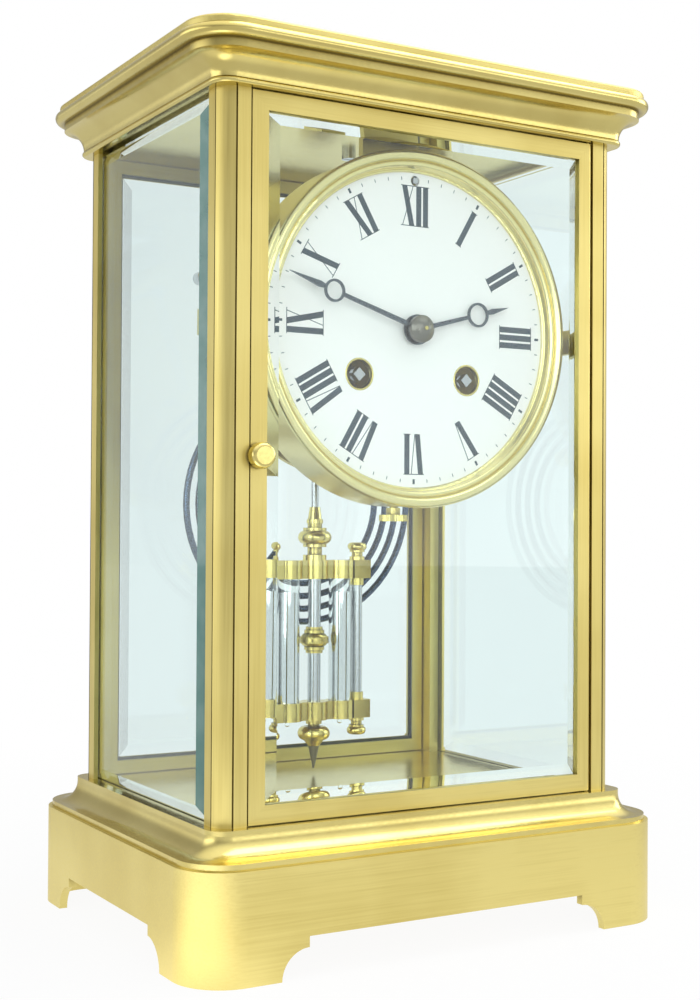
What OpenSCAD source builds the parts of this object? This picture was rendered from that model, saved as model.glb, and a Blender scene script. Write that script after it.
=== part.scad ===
// Crystal regulator clock: a four-glass brass case with a round eight-day
// striking movement, an enamel dial and a mercury pendulum.
// Origin at the middle of the footprint, Z up, the dial faces -Y. Millimetres.

/* [Case] */
// Width over the flat strips of the corner pillars
case_w = 139.5; // [136:0.5:150]
// Depth over the flat strips of the corner pillars
case_d = 105; // [100:0.5:116]
// Height of the corner pillars
pillar_h = 206.4; // [203:0.2:215]
// Width of a pillar, seen from the front
pillar_w = 8.8; // [8.4:0.1:10]
// Depth of a pillar, seen from the side
pillar_d = 9.4; // [9.2:0.1:11]
// Width of the flat strip beside the rounded corner
strip_w = 4.4; // [4:0.1:5]
// Radius of the rounded corner of a pillar
round_r = 7.2; // [6.6:0.1:8]

/* [Plinth] */
// How far the plinth stands out from the strips
plinth_out = 12.2; // [12:0.1:16]
// Height of the plinth
plinth_h = 31.2; // [26:0.2:40]
// Thickness of the plinth wall
plinth_wall = 2.6; // [2:0.1:3]
// Height of the arch between the feet
arch_h = 11.5; // [10:0.1:14]
// Length of a foot along the front, at the floor
foot_front = 25.9; // [22:0.1:34]
// Length of a foot along the side, at the floor
foot_side = 24; // [21:0.1:30]
// Radius of the hollow curve on a foot
foot_curve_r = 8.5; // [6:0.1:9.5]

/* [Base moulding] */
// How far the lower fillet stands out
base_out = 10.9; // [10.6:0.1:11.6]
// Height of the lower fillet
base_fillet_h = 1.8; // [1:0.1:3]
// Radius of the cove
base_cove_r = 6; // [4:0.1:6.8]
// How far the top fillet stands out
base_top_out = 2.8; // [2.4:0.1:3.4]
// Height of the top fillet
base_top_h = 1.4; // [1:0.1:2.4]
// Thickness of the floor and of the ceiling
floor_t = 3; // [2.6:0.1:4]

/* [Cornice] */
// How far the lowest half-round stands out
cornice_low_out = 2.9; // [2.4:0.1:3.4]
// Height of the lowest half-round
cornice_low_h = 1.8; // [1.2:0.1:2]
// Radius of the cornice cove
cornice_cove_r = 6.4; // [5:0.1:7]
// Height of the fillet above the cove
cornice_fillet_h = 2.4; // [1.4:0.1:3]
// Height of the round bead
cornice_bead_h = 3.8; // [3:0.1:4.4]
// How far the bead stands out past the fillet
cornice_bead_out = 3; // [2:0.1:3.4]
// How far the top plate stands out
top_out = 10.3; // [9.6:0.1:11.5]
// Thickness of the top plate
top_t = 2.2; // [1.8:0.1:3.4]

/* [Doors and glass] */
// Width of a door stile
stile_w = 5.2; // [5:0.1:6]
// Height of a door rail
rail_h = 5.3; // [4.6:0.1:6]
// Thickness of a door
door_t = 4.4; // [4.2:0.1:4.8]
// Gap round a closed door
door_gap = 0.4; // [0.3:0.05:0.6]
// Gap above and below a door
door_end_gap = 0.3; // [0.3:0.05:0.5]
// Radius of a door's hinge pin
hinge_pin_r = 0.8; // [0.6:0.05:0.9]
// Height of the door knob above the base
knob_h = 103.4; // [60:0.2:128]
// Radius of the door knob
knob_r = 3.7; // [3.4:0.05:4.5]
// Width of the side glass bevel at the pillars
bevel_w = 6.5; // [4:0.1:8]
// Width of the side glass bevel at the top and bottom
bevel_end_w = 3.4; // [2.6:0.1:4.4]
// Depth of the side glass bevel
bevel_t = 1.3; // [0.8:0.1:1.4]
// Width of the door glass bevel
door_bevel_w = 3.5; // [3:0.1:5]
// Depth of the door glass bevel
door_bevel_t = 1.7; // [1:0.1:2]
// Thickness of the side glass at its edge
side_edge_t = 3.3; // [2.6:0.1:3.6]

/* [Dial and hands] */
// Height of the dial's centre above the base
dial_h = 143.6; // [141:0.2:147]
// Distance of the dial's face behind the front strips
dial_set = 12; // [11.4:0.1:13]
// Visible radius of the dial
dial_r = 48; // [47.4:0.1:48.6]
// Thickness of the dial
dial_t = 1.6; // [1.2:0.1:2]
// Outer radius of the bezel
bezel_r = 54.3; // [53.8:0.1:54.8]
// Depth of the drum behind the dial's face
drum_d = 14.2; // [12:0.1:15]
// Sideways distance of a winding square from the centre
wind_x = 19.3; // [19.1:0.05:19.6]
// Distance of the winding squares below the centre
wind_drop = 14.4; // [14.2:0.05:14.7]
// Radius of a winding hole
wind_hole_r = 4.9; // [4:0.1:5.6]
// Height of the regulating arbor above the dial's centre
regulator_h = 45.65; // [45.4:0.05:46.2]
// Length of the minute hand
minute_len = 47; // [42:0.2:47.2]
// Length of the hour hand
hour_len = 35.2; // [32:0.2:38]
// Distance of the minute hand's ring from the centre
minute_moon_at = 31.2; // [26:0.2:36]
// Outer radius of the minute hand's ring
minute_moon_r = 3.4; // [2.4:0.1:4]
// Distance of the hour hand's ring from the centre
hour_moon_at = 23.2; // [18:0.2:25]
// Outer radius of the hour hand's ring
hour_moon_r = 3.8; // [2.4:0.1:4.4]
// Thickness of a hand
hand_t = 0.7; // [0.5:0.05:0.8]
// Angle of the minute hand, clockwise from twelve
minute_angle = 287.5; // [0:0.5:359.5]
// Angle of the hour hand, clockwise from twelve
hour_angle = 74.9; // [0:0.1:359.9]

/* [Movement] */
// Radius of the movement plates
plate_r = 43.5; // [43.2:0.1:43.8]
// Thickness of a movement plate
plate_t = 2.5; // [2:0.1:3]
// Distance between the plates
plate_gap = 26.5; // [26.2:0.1:28]
// Distance from the back of the dial to the front plate
dial_space = 15.4; // [15.2:0.1:16]
// Thickness of a train wheel
wheel_t = 1.2; // [0.8:0.1:1.4]
// Radius of a train arbor
arbor_r = 0.8; // [0.7:0.05:0.9]
// Radius of a pivot
pivot_r = 0.5; // [0.4:0.05:0.6]
// Running clearance of a pivot in its hole
run_clear = 0.05; // [0.03:0.01:0.08]
// Module of the great wheels
great_m = 0.43; // [0.427:0.001:0.433]
// Height of the escape arbor above the centre
escape_h = 27; // [26.7:0.1:27.3]
// Tip radius of the escape wheel
escape_r = 9; // [8:0.1:9.4]
// Height of the pallet arbor above the escape arbor
pallet_h = 12.7; // [12.5:0.05:13]

/* [Pendulum and gong] */
// Height of the suspension point above the dial's centre
pivot_h = 47; // [46.5:0.1:48]
// Distance of the pendulum behind the back plate
pendulum_set = 13.5; // [13:0.1:14.5]
// Length from the suspension point to the top of the collar
rod_len = 100.6; // [92:0.2:106]
// Radius of the pendulum rod
rod_r = 1.25; // [1:0.05:1.4]
// Height of a pendulum bar
bar_h = 6.2; // [5:0.1:7]
// Sideways distance of a mercury vial from the middle
vial_x = 10.1; // [9.4:0.1:10.4]
// Outer radius of a vial
vial_r = 4; // [3.4:0.1:4.2]
// Sideways distance of a column from the middle
column_x = 16.7; // [16.5:0.1:18]
// Gap between the pendulum's point and the floor
tip_gap = 1.6; // [1:0.1:4]
// Distance of the gong behind the pendulum
gong_set = 9; // [8.4:0.1:10]
// Distance of the gong's centre below the dial's centre
gong_drop = 52; // [50:0.2:54]
// Radius of the gong's innermost turn
gong_in_r = 25.2; // [24.6:0.1:26]
// Step from one turn of the gong to the next
gong_pitch = 4.4; // [4:0.05:4.6]
// Radius of the gong wire
gong_wire_r = 1.1; // [0.8:0.05:1.2]

/* [Hidden] */
$fn = 48;
sliver = 0.1;
seam = 0.02;
seat_clear = 0.2;
move_clear = 0.3;

// Levels and planes of the case
half_w = case_w / 2;
half_d = case_d / 2;
edge_r = 3;
corner_x = half_w - edge_r;
corner_y = half_d - edge_r;
base_h = base_fillet_h + base_cove_r + base_top_h;
base_top = plinth_h + base_h;
case_top = base_top + pillar_h;
ceiling_top = case_top + floor_t;
cornice_fillet_z = case_top + cornice_low_h + cornice_cove_r;
cornice_bead_z = cornice_fillet_z + cornice_fillet_h;
cornice_top = cornice_bead_z + cornice_bead_h;
cornice_reveal = 0.5;
cornice_fillet_out = cornice_low_out - cornice_reveal + cornice_cove_r;
top_z = cornice_top + top_t;

// Pillars: the rounded corner stands a little proud of both strips, with a fine groove on each side
round_proud = 0.4;
round_in = round_r - round_proud;
quirk = 0.5;
pillar_x = half_w - pillar_w;
pillar_y = half_d - pillar_d;
strip_set = 0.2;
side_strip_w = 4.5;
groove_depth = 2.7;
glass_in_x = half_w - 5;
side_glass_y = pillar_y + groove_depth - seat_clear;
pillar_screw_x = half_w - 6.3;
pillar_screw_y = half_d - 4.9;
pillar_screw_r = 1.2;
pillar_screw_len = 20;

// Doors: the hinge axis lies close to the front edge, which is rounded about it
door_x = pillar_x - door_gap;
door_z0 = base_top + door_end_gap;
door_z1 = case_top - door_end_gap;
door_front = half_d - strip_set;
door_back = door_front - door_t;
door_lip = 2;
door_rebate = 1;
sight_x = door_x - stile_w;
sight_z0 = door_z0 + rail_h;
sight_z1 = door_z1 - rail_h;
hinge_edge = 1.2;
hinge_x = door_x - hinge_edge;
hinge_y = door_front - hinge_edge;
hinge_pin_len = 2;
knob_x = door_x - stile_w / 2;
knob_z = base_top + knob_h;
knob_stand = 0.8;
knob_len = 3.2;
spindle_r = 1.1;
latch_len = 5.4;
latch_w = 2;
latch_t = 1.2;
latch_y = door_back - move_clear;
latch_slot = 0.5;

// Planes of the movement, from the front to the back
dial_y = -(half_d - dial_set);
dial_z = base_top + dial_h;
dial_back = dial_y + dial_t;
plate_front = dial_back + dial_space;
gap_front = plate_front + plate_t;
gap_back = gap_front + plate_gap;
plate_back = gap_back + plate_t;
pendulum_y = plate_back + pendulum_set;
gong_y = pendulum_y + gong_set;
pivot_z = dial_z + pivot_h;
gong_z = dial_z - gong_drop;
dial_edge = 1.5;
drum_r = bezel_r - 0.5;
drum_wall = 1.2;
drum_in_r = drum_r - drum_wall;
drum_back = dial_y + drum_d;

// Depths of the wheel layers behind the inside of the front plate
layer_warning = 1.7;
layer_centre = 5;
layer_second = 8.5;
layer_great = 12.5;
layer_escape = 18.5;
great_t = 2;
barrel_len = 12.5;
barrel_wall = 1.2;
barrel_lid = 1.2;
pinion_over = 0.7;
end_shake = 0.2;

// Teeth and leaves of the going train, the striking train and the motion work
great_n = 80;
great_leaves = 10;
second_n = 80;
centre_leaves = 10;
second_m = 0.422;
centre_n = 84;
third_leaves = 7;
centre_m = 0.3516;
third_n = 78;
escape_leaves = 7;
third_m = 0.2706;
escape_n = 35;
strike_n = 70;
pin_leaves = 8;
strike_m = 0.318;
pin_n = 60;
locking_leaves = 7;
pin_m = 0.3045;
locking_n = 56;
warning_leaves = 7;
locking_m = 0.289;
warning_n = 48;
fly_leaves = 6;
warning_m = 0.2926;
cannon_n = 14;
minute_n = 42;
motion_m = 0.3;
minute_leaves = 10;
hour_n = 40;

// Shape of a tooth and of a leaf, in modules and in shares of the pitch
wheel_add = 0.7;
wheel_ded = 0.8;
wheel_root_w = 0.5;
wheel_tip_w = 0.14;
leaf_add = 0.35;
leaf_ded = 1.1;
leaf_root_w = 0.3;
leaf_tip_w = 0.26;

function polar(r, a) = [r * cos(a), r * sin(a)];
function mesh_d(a, b, m) = (a + b) * m / 2;
function heading(p, q) = atan2(q[1] - p[1], q[0] - p[0]);
// Third corner of a triangle on p and q, to the left of the line from p to q
function apex(p, q, dp, dq) =
  let (d = norm(q - p), a = acos((dp * dp + d * d - dq * dq) / (2 * dp * d)))
  p + polar(dp, heading(p, q) + a);
// Turn of a pinion that puts a space where the wheel, unturned, has a tooth
function mesh_turn(p, q, wheel, leaves) =
  heading(p, q) + 180 + (heading(p, q) * wheel / 360 + 0.5) * 360 / leaves;

// Thinner arbors towards the end of each train, their pivots thinner still
third_r = 0.65;
locking_r = 0.5;
escape_arbor_r = 0.5;
fly_r = 0.4;
fly_vane = 4.3;
fly_vane_t = 0.5;
fly_hub_r = 1;
pivot_short = 0.3;
function pivot_of(core_r) = min(pivot_r, core_r - 0.1);

// Arbors, as sideways and upward distances from the dial's centre
centre_at = [0, 0];
going_at = [wind_x, -wind_drop];
strike_at = [-wind_x, -wind_drop];
great_d = mesh_d(great_n, great_leaves, great_m);
second_at = apex(centre_at, going_at, mesh_d(second_n, centre_leaves, second_m), great_d);
escape_at = [0, escape_h];
third_at = apex(escape_at, centre_at, mesh_d(third_n, escape_leaves, third_m),
  mesh_d(centre_n, third_leaves, centre_m));
pallet_at = escape_at + [0, pallet_h];
strike_second_at = strike_at + polar(great_d, 80.2);
pin_at = strike_second_at + polar(mesh_d(strike_n, pin_leaves, strike_m), 120);
locking_at = pin_at + polar(mesh_d(pin_n, locking_leaves, pin_m), 200);
warning_at = locking_at + polar(mesh_d(locking_n, warning_leaves, locking_m), 270);
fly_at = warning_at + polar(mesh_d(warning_n, fly_leaves, warning_m), 200);
minute_at = polar(mesh_d(cannon_n, minute_n, motion_m), -90);
hour_m = 2 * norm(minute_at) / (minute_leaves + hour_n);
hammer_at = [-35, 22.5];
arbors = [[second_at, arbor_r], [third_at, third_r], [escape_at, escape_arbor_r], [strike_second_at, arbor_r],
  [pin_at, third_r], [locking_at, locking_r], [warning_at, locking_r], [fly_at, fly_r]];

// Parts on the centre arbor
centre_r = 1;
cannon_r = 1.7;
hour_pipe_gap = 0.08;
hour_pipe_r = 2.5;
dial_hole_r = 3.2;
hour_hand_y = dial_y - 1.3;
minute_hand_y = hour_hand_y - hand_t - 0.8;
nut_len = 3.2;
stud_r = 1;
stud_len = 7;

// Winding work
wind_r = 1.8;
wind_pivot_r = 1.5;
wind_square = 2.9;
wind_square_len = 6;
ratchet_r = 7.5;
ratchet_n = 24;
ratchet_t = 2;
ratchet_gap = 1.2;
click_reach = 11;
click_w = 4;
pillar_r = 2.4;
pillar_pitch = 39;
pillar_angles = [0, 50, 130, 270];
dial_foot_r = 1;
dial_foot_pitch = 35;
dial_foot_angles = [20, 160, 250];

// Straps, lug and thumb screw
strap_t = 2.5;
strap_h = 7.6;
strap_in = 30;
strap_end = door_back - 2 * move_clear - pillar_y;
strap_grip = 2.2;
strap_screw_y = pillar_y + strap_end / 2;
strap_screw_x = 34;
top_strap_w = 20;
top_strap_clear = 2;
top_strap_d = plate_front + door_back - top_strap_clear;
strap_foot_x = 7.5;
top_screws = [[-6, plate_r - strap_h / 2], [6, plate_r - strap_h / 2]];
screw_r = 1.2;
screw_head_r = 2;
screw_head_t = 1.5;
lug_w = 10;
lug_d = 8;
lug_top = 38;
thumb_y = plate_front - 5.3;
thumb_r = 4.4;
thumb_t = 2;

// Suspension, pallets and crutch
cock_gap = 4.5;
cock_t = 2.5;
cock_y = plate_back + cock_gap;
cock_half_w = 11;
cock_leg_w = 3;
cock_foot = 17;
cock_bar_w = 9;
cock_bar_h = 5;
cock_bar_y = pendulum_y + 4;
spring_w = 6;
spring_t = 0.2;
spring_slot = 0.9;
spring_above = 2.5;
block_h = 5;
block_drop = 7;
crutch_y = plate_back + cock_gap / 2;
crutch_r = 0.8;
crutch_len = 33.7;
fork_r = 0.6;
regulator_r = 1.2;
regulator_hole_r = 1.5;

// Pendulum, from the collar down to the point
collar_h = 18;
collar_top = pivot_z - rod_len;
upper_bar_z = collar_top - collar_h - bar_h;
finial_h = 8.8;
point_h = 7.7;
point_z = base_top + tip_gap;
lower_bar_z = point_z + point_h + finial_h;
vial_h = upper_bar_z - lower_bar_z - bar_h;
centre_rod_r = 2.2;
column_r = 1.8;
vial_wall = 0.5;
vial_rim = 0.8;
vial_sink = 1.5;
mercury_gap = 5;
bar_end_w = 6.4;
bar_depth = 7.8;
collar_r = 4;
collar_neck_r = 2.5;
collar_bead_r = 2.3;
finial_neck_r = 2;
finial_bead_r = 2.3;
rating_h = 8.8;
rating_r = 2.9;
rating_bead_r = 2.4;
tip_h = 5.4;
tip_r = 1.9;
tip_ring_r = 2.6;
tip_bead_r = 1.4;
column_collar_h = 2.4;
column_collar_t = 0.5;

// Gong: a flat spiral whose inner end meets a block on a post
gong_start = 60;
gong_turns = 3.95;
gong_rings = 24;
gong_sides = 6;
gong_block_len = 5;
gong_block_in = 4;
gong_block_out = 1.3;
gong_post_r = 2.3;

// Hammer
hammer_arbor_r = 1;
hammer_head_r = 3.2;
hammer_head_len = 6;
hammer_strike = 122;
hammer_gap = 0.6;
hammer_tail = 6.5;

// Colours as the clock shows them
brass = "#d9c878";
gilt = "#e8da8c";
steel = "#b8bcc0";
blued = "#3a4a5a";
clear_glass = [0.8, 0.92, 0.94, 0.35];
enamel = "#f4f6f6";
quicksilver = "#c8ccd0";

// Outline of the case grown by out, with rounded corners
module outline(out) {
  r = edge_r + out;
  square([2 * corner_x, 2 * (corner_y + r)], center = true);
  square([2 * (corner_x + r), 2 * corner_y], center = true);
  for (x = [-corner_x, corner_x], y = [-corner_y, corner_y])
    translate([x, y])
      circle(r);
}

// Sweeps a flat section round the case: its x runs outwards, its y upwards
module around_case() {
  for (k = [0:3]) {
    a = k % 2 == 0 ? corner_x : corner_y;
    b = k % 2 == 0 ? corner_y : corner_x;
    rotate(90 * k)
      translate([a, b, 0]) {
        rotate([90, 0, 0])
          linear_extrude(2 * b)
            children();
        rotate_extrude(angle = 90)
          children();
      }
  }
}

module core(z0, h) {
  translate([-corner_x, -corner_y, z0])
    cube([2 * corner_x, 2 * corner_y, h]);
}

// Places a shape drawn in the front view, with its back at y; its height runs forwards
module facing(p, y) {
  translate([p[0], y, dial_z + p[1]])
    rotate([90, 0, 0])
      children();
}

// Rod or disc along the depth, between two planes
module rod(p, y0, y1, r) {
  facing(p, y1)
    cylinder(h = y1 - y0, r = r);
}

// Repeats a shape at the hole of each pillar screw
module at_pillar_screws(z) {
  for (x = [-pillar_screw_x, pillar_screw_x], y = [-pillar_screw_y, pillar_screw_y])
    translate([x, y, z])
      children();
}

// Repeats a shape on the two hinge axes, at height z
module at_hinges(z) {
  for (s = [0, 180])
    rotate(s)
      translate([hinge_x, -hinge_y, z])
        children();
}

module hinge_holes(z) {
  at_hinges(z)
    cylinder(h = 2 * hinge_pin_len, r = hinge_pin_r + run_clear, center = true);
}

module base_plinth() {
  step_x = half_w + plinth_out - foot_front - foot_curve_r;
  step_y = half_d + plinth_out - foot_side - foot_curve_r;
  far = case_w + 4 * plinth_out;
  color(brass)
    difference() {
      linear_extrude(plinth_h)
        difference() {
          outline(plinth_out);
          outline(plinth_out - plinth_wall);
        }
      foot_arch(step_x, far);
      rotate(90)
        foot_arch(step_y, far);
    }
}

// Opening between two feet, run right through
module foot_arch(step, far) {
  translate([0, far / 2, 0])
    rotate([90, 0, 0])
      linear_extrude(far) {
        translate([-step, -sliver])
          square([2 * step, arch_h + sliver]);
        for (x = [-step, step])
          translate([x, 0])
            circle(foot_curve_r);
      }
}

module base_section() {
  low = base_out + edge_r;
  top = base_top_out + edge_r;
  cove_z = plinth_h + base_fillet_h + base_cove_r;
  difference() {
    translate([0, plinth_h])
      square([low, base_h - base_top_h]);
    translate([top + base_cove_r, cove_z])
      circle(base_cove_r);
    translate([top + base_cove_r, cove_z - base_cove_r])
      square([low, 2 * base_cove_r]);
  }
  translate([0, base_top - base_top_h])
    square([top, base_top_h]);
}

module base_moulding() {
  pocket_in = 8;
  color(brass)
    difference() {
      union() {
        around_case()
          base_section();
        core(plinth_h, base_h);
      }
      translate([0, 0, plinth_h - sliver])
        linear_extrude(base_h - floor_t + sliver)
          square([2 * (half_w - pocket_in), 2 * (half_d - pocket_in)], center = true);
      at_pillar_screws(plinth_h - sliver)
        cylinder(h = base_h + 2 * sliver, r = pillar_screw_r + run_clear);
      hinge_holes(base_top);
    }
}

// Section of one pillar, outer corner to the upper right
module pillar_section() {
  difference() {
    union() {
      translate([pillar_x, pillar_y])
        square([strip_w, pillar_d - strip_set]);
      translate([pillar_x, pillar_y])
        square([pillar_w, side_strip_w]);
      intersection() {
        translate([half_w - round_in, half_d - strip_set - round_in])
          circle(round_r);
        translate([pillar_x + strip_w - seam, pillar_y + side_strip_w - seam])
          square(pillar_d);
      }
    }
    translate([pillar_x + strip_w - quirk / 2, half_d - strip_set - quirk])
      square([quirk, quirk + round_proud]);
    translate([half_w - quirk, pillar_y + side_strip_w - quirk / 2])
      square([quirk + round_proud, quirk]);
    translate([glass_in_x - seat_clear, pillar_y - sliver])
      square([side_edge_t + 2 * seat_clear, groove_depth + sliver]);
  }
}

// One pillar at the front left; slotted where it takes a latch, bored where it takes a strap
module pillar(latched, strapped) {
  color(gilt)
    mirror([1, 0, 0])
      mirror([0, 1, 0])
        difference() {
          translate([0, 0, base_top])
            linear_extrude(pillar_h)
              pillar_section();
          for (z = [base_top - sliver, case_top - pillar_screw_len])
            translate([pillar_screw_x, pillar_screw_y, z])
              cylinder(h = pillar_screw_len + sliver, r = pillar_screw_r + run_clear);
          if (strapped)
            translate([pillar_x - sliver, strap_screw_y, dial_z])
              rotate([0, 90, 0])
                cylinder(h = strap_grip + 2 * sliver, r = screw_r + run_clear);
          if (latched)
            latch_pocket();
        }
}

// Room for the whole sweep of a turning latch
module latch_pocket() {
  translate([knob_x, latch_y + latch_slot, knob_z])
    rotate([90, 0, 0])
      cylinder(h = latch_t + 2 * latch_slot, r = norm([latch_len, latch_w / 2]) + latch_slot);
}

module front_left_pillar() pillar(true, true);

module front_right_pillar() mirror([1, 0, 0]) pillar(false, true);

module rear_left_pillar() mirror([0, 1, 0]) pillar(false, false);

module rear_right_pillar() rotate(180) pillar(true, false);

module cornice_section() {
  low = cornice_low_out + edge_r;
  fillet = cornice_fillet_out + edge_r;
  translate([0, case_top])
    square([low - cornice_low_h / 2, cornice_low_h]);
  translate([low - cornice_low_h / 2, case_top + cornice_low_h / 2])
    circle(cornice_low_h / 2);
  difference() {
    translate([0, case_top + cornice_low_h])
      square([fillet, cornice_cove_r + cornice_fillet_h]);
    translate([fillet, case_top + cornice_low_h])
      circle(cornice_cove_r);
  }
  translate([0, cornice_bead_z])
    square([fillet + cornice_bead_out - cornice_bead_h / 2, cornice_bead_h]);
  translate([fillet + cornice_bead_out - cornice_bead_h / 2, cornice_bead_z + cornice_bead_h / 2])
    circle(cornice_bead_h / 2);
}

module cornice() {
  pocket_in = 2.5;
  color(brass)
    difference() {
      union() {
        around_case()
          cornice_section();
        core(case_top, cornice_top - case_top);
      }
      translate([0, 0, ceiling_top])
        linear_extrude(cornice_top - ceiling_top + sliver)
          square([2 * (half_w - pocket_in), 2 * (half_d - pocket_in)], center = true);
      at_pillar_screws(case_top - sliver)
        cylinder(h = floor_t + 2 * sliver, r = pillar_screw_r + run_clear);
      hinge_holes(case_top);
      translate([0, 0, case_top - sliver])
        cylinder(h = floor_t + 2 * sliver, r = screw_r + run_clear);
      at_foot_screws(case_top - sliver)
        cylinder(h = floor_t + 2 * sliver, r = screw_r + run_clear);
    }
}

// Places of the two screws that hold the top strap to the ceiling
module at_foot_screws(z) {
  for (s = [-1, 1])
    translate([s * strap_foot_x, plate_front - top_strap_d / 2, z])
      children();
}

module top_plate() {
  edge = top_out + edge_r;
  ease = 0.9;
  color(brass)
    difference() {
      union() {
        around_case() {
          translate([0, cornice_top])
            square([edge, top_t - ease]);
          translate([0, cornice_top])
            square([edge - ease, top_t]);
          translate([edge - ease, top_z - ease])
            circle(ease);
        }
        core(cornice_top, top_t);
      }
      translate([0, 0, cornice_top - sliver])
        cylinder(h = top_t - ease + sliver, r = screw_r + run_clear);
    }
}

// Cheese-head screw, its shank up along Z from the seat of its head
module screw(shank, r, head_r, head_t) {
  slot = 0.6;
  cylinder(h = shank, r = r);
  difference() {
    translate([0, 0, -head_t])
      cylinder(h = head_t, r = head_r);
    translate([-head_r, -slot / 2, -head_t - sliver])
      cube([2 * head_r, slot, head_t / 2]);
  }
}

module case_screws() {
  head_r = 2.3;
  head_t = 2.4;
  color(steel) {
    at_pillar_screws(plinth_h)
      screw(base_h + pillar_screw_len - 1, pillar_screw_r, head_r, head_t);
    at_pillar_screws(ceiling_top)
      mirror([0, 0, 1])
        screw(floor_t + pillar_screw_len - 1, pillar_screw_r, head_r, head_t);
    translate([0, 0, case_top])
      screw(cornice_top - case_top + 1, screw_r, head_r, head_t);
    at_foot_screws(case_top - strap_t)
      screw(strap_t + floor_t, screw_r, head_r, head_t);
    for (side = [0, 1])
      mirror([side, 0, 0]) {
        translate([pillar_x - strap_t, -strap_screw_y, dial_z])
          rotate([0, 90, 0])
            screw(strap_t + strap_grip, screw_r, screw_head_r, screw_head_t);
        translate([strap_screw_x, plate_front - strap_t, dial_z])
          rotate([-90, 0, 0])
            screw(strap_t + plate_t, screw_r, screw_head_r, screw_head_t);
      }
    for (p = top_screws)
      translate([p[0], plate_front - strap_t, dial_z + p[1]])
        rotate([-90, 0, 0])
          screw(strap_t + plate_t, screw_r, screw_head_r, screw_head_t);
  }
}

// Bevelled plate: back face at 0, edge and middle faces at edge_t and full_t.
// Its width runs along X, its height along Z from z0 to z1, its faces along -Y
module bevelled_plate(half, z0, z1, land, end_land, width, end_width, edge_t, full_t) {
  rise = land + width;
  end_rise = end_land + end_width;
  intersection() {
    translate([0, 0, z0 - sliver])
      linear_extrude(z1 - z0 + 2 * sliver)
        polygon([[-half, 0], [-half, -edge_t], [land - half, -edge_t], [rise - half, -full_t],
          [half - rise, -full_t], [half - land, -edge_t], [half, -edge_t], [half, 0]]);
    rotate([0, -90, 0])
      linear_extrude(2 * half + 2 * sliver, center = true)
        polygon([[z0, 0], [z0, -edge_t], [z0 + end_land, -edge_t], [z0 + end_rise, -full_t],
          [z1 - end_rise, -full_t], [z1 - end_land, -edge_t], [z1, -edge_t], [z1, 0]]);
  }
}

module side_glass() {
  end_land = 0.8;
  top_gap = 1;
  color(clear_glass)
    translate([glass_in_x, 0, 0])
      rotate(90)
        bevelled_plate(side_glass_y, base_top, case_top - top_gap, groove_depth, end_land, bevel_w,
          bevel_end_w, side_edge_t, side_edge_t + bevel_t);
}

module right_glass() side_glass();

module left_glass() mirror([1, 0, 0]) side_glass();

module door_frame() {
  rebate_x = sight_x + door_rebate;
  rebate_z0 = sight_z0 - door_rebate;
  rebate_z1 = sight_z1 + door_rebate;
  color(gilt) {
    difference() {
      union() {
        translate([-door_x, -door_front, door_z0])
          cube([2 * door_x - hinge_edge, door_t, door_z1 - door_z0]);
        translate([hinge_x - sliver, -hinge_y, door_z0])
          cube([hinge_edge + sliver, door_t - hinge_edge, door_z1 - door_z0]);
        translate([hinge_x, -hinge_y, door_z0])
          cylinder(h = door_z1 - door_z0, r = hinge_edge);
        translate([hinge_x, -hinge_y, door_z0 - hinge_pin_len])
          cylinder(h = door_z1 - door_z0 + 2 * hinge_pin_len, r = hinge_pin_r);
      }
      translate([-sight_x, -door_front - sliver, sight_z0])
        cube([2 * sight_x, door_t + 2 * sliver, sight_z1 - sight_z0]);
      translate([-rebate_x, -door_front + door_lip, rebate_z0])
        cube([2 * rebate_x, door_t, rebate_z1 - rebate_z0]);
      translate([-knob_x, -door_front - sliver, knob_z])
        rotate([-90, 0, 0])
          cylinder(h = door_t + 2 * sliver, r = spindle_r + run_clear);
    }
  }
}

module door_glass() {
  inset = door_rebate - seat_clear;
  edge_t = door_t - door_lip - seat_clear;
  color(clear_glass)
    translate([0, -door_back - seat_clear, 0])
      bevelled_plate(sight_x + inset, sight_z0 - inset, sight_z1 + inset, door_rebate, door_rebate,
        door_bevel_w, door_bevel_w, edge_t, edge_t + door_bevel_t);
}

// Knob, spindle and latch; the latch hangs down when the door is free
module door_knob() {
  neck_r = 2.2;
  ease = 1.2;
  color(gilt)
    translate([-knob_x, -latch_y + latch_t, knob_z])
      rotate([90, 0, 0]) {
        cylinder(h = latch_t + move_clear + door_t + knob_stand, r = spindle_r);
        translate([-latch_w / 2, -latch_len, 0])
          cube([latch_w, latch_len, latch_t]);
        cylinder(h = latch_t, r = latch_w / 2 + 0.6);
        translate([0, 0, latch_t + move_clear + door_t + move_clear])
          cylinder(h = knob_stand, r = neck_r);
        translate([0, 0, latch_t + move_clear + door_t + knob_stand])
          rotate_extrude() {
            square([knob_r, knob_len - ease]);
            square([knob_r - ease, knob_len]);
            translate([knob_r - ease, knob_len - ease])
              circle(ease);
          }
      }
}

module front_door_frame() door_frame();

module front_door_glass() door_glass();

module front_door_knob() door_knob();

module back_door_frame() rotate(180) door_frame();

module back_door_glass() rotate(180) door_glass();

module back_door_knob() rotate(180) door_knob();

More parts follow.
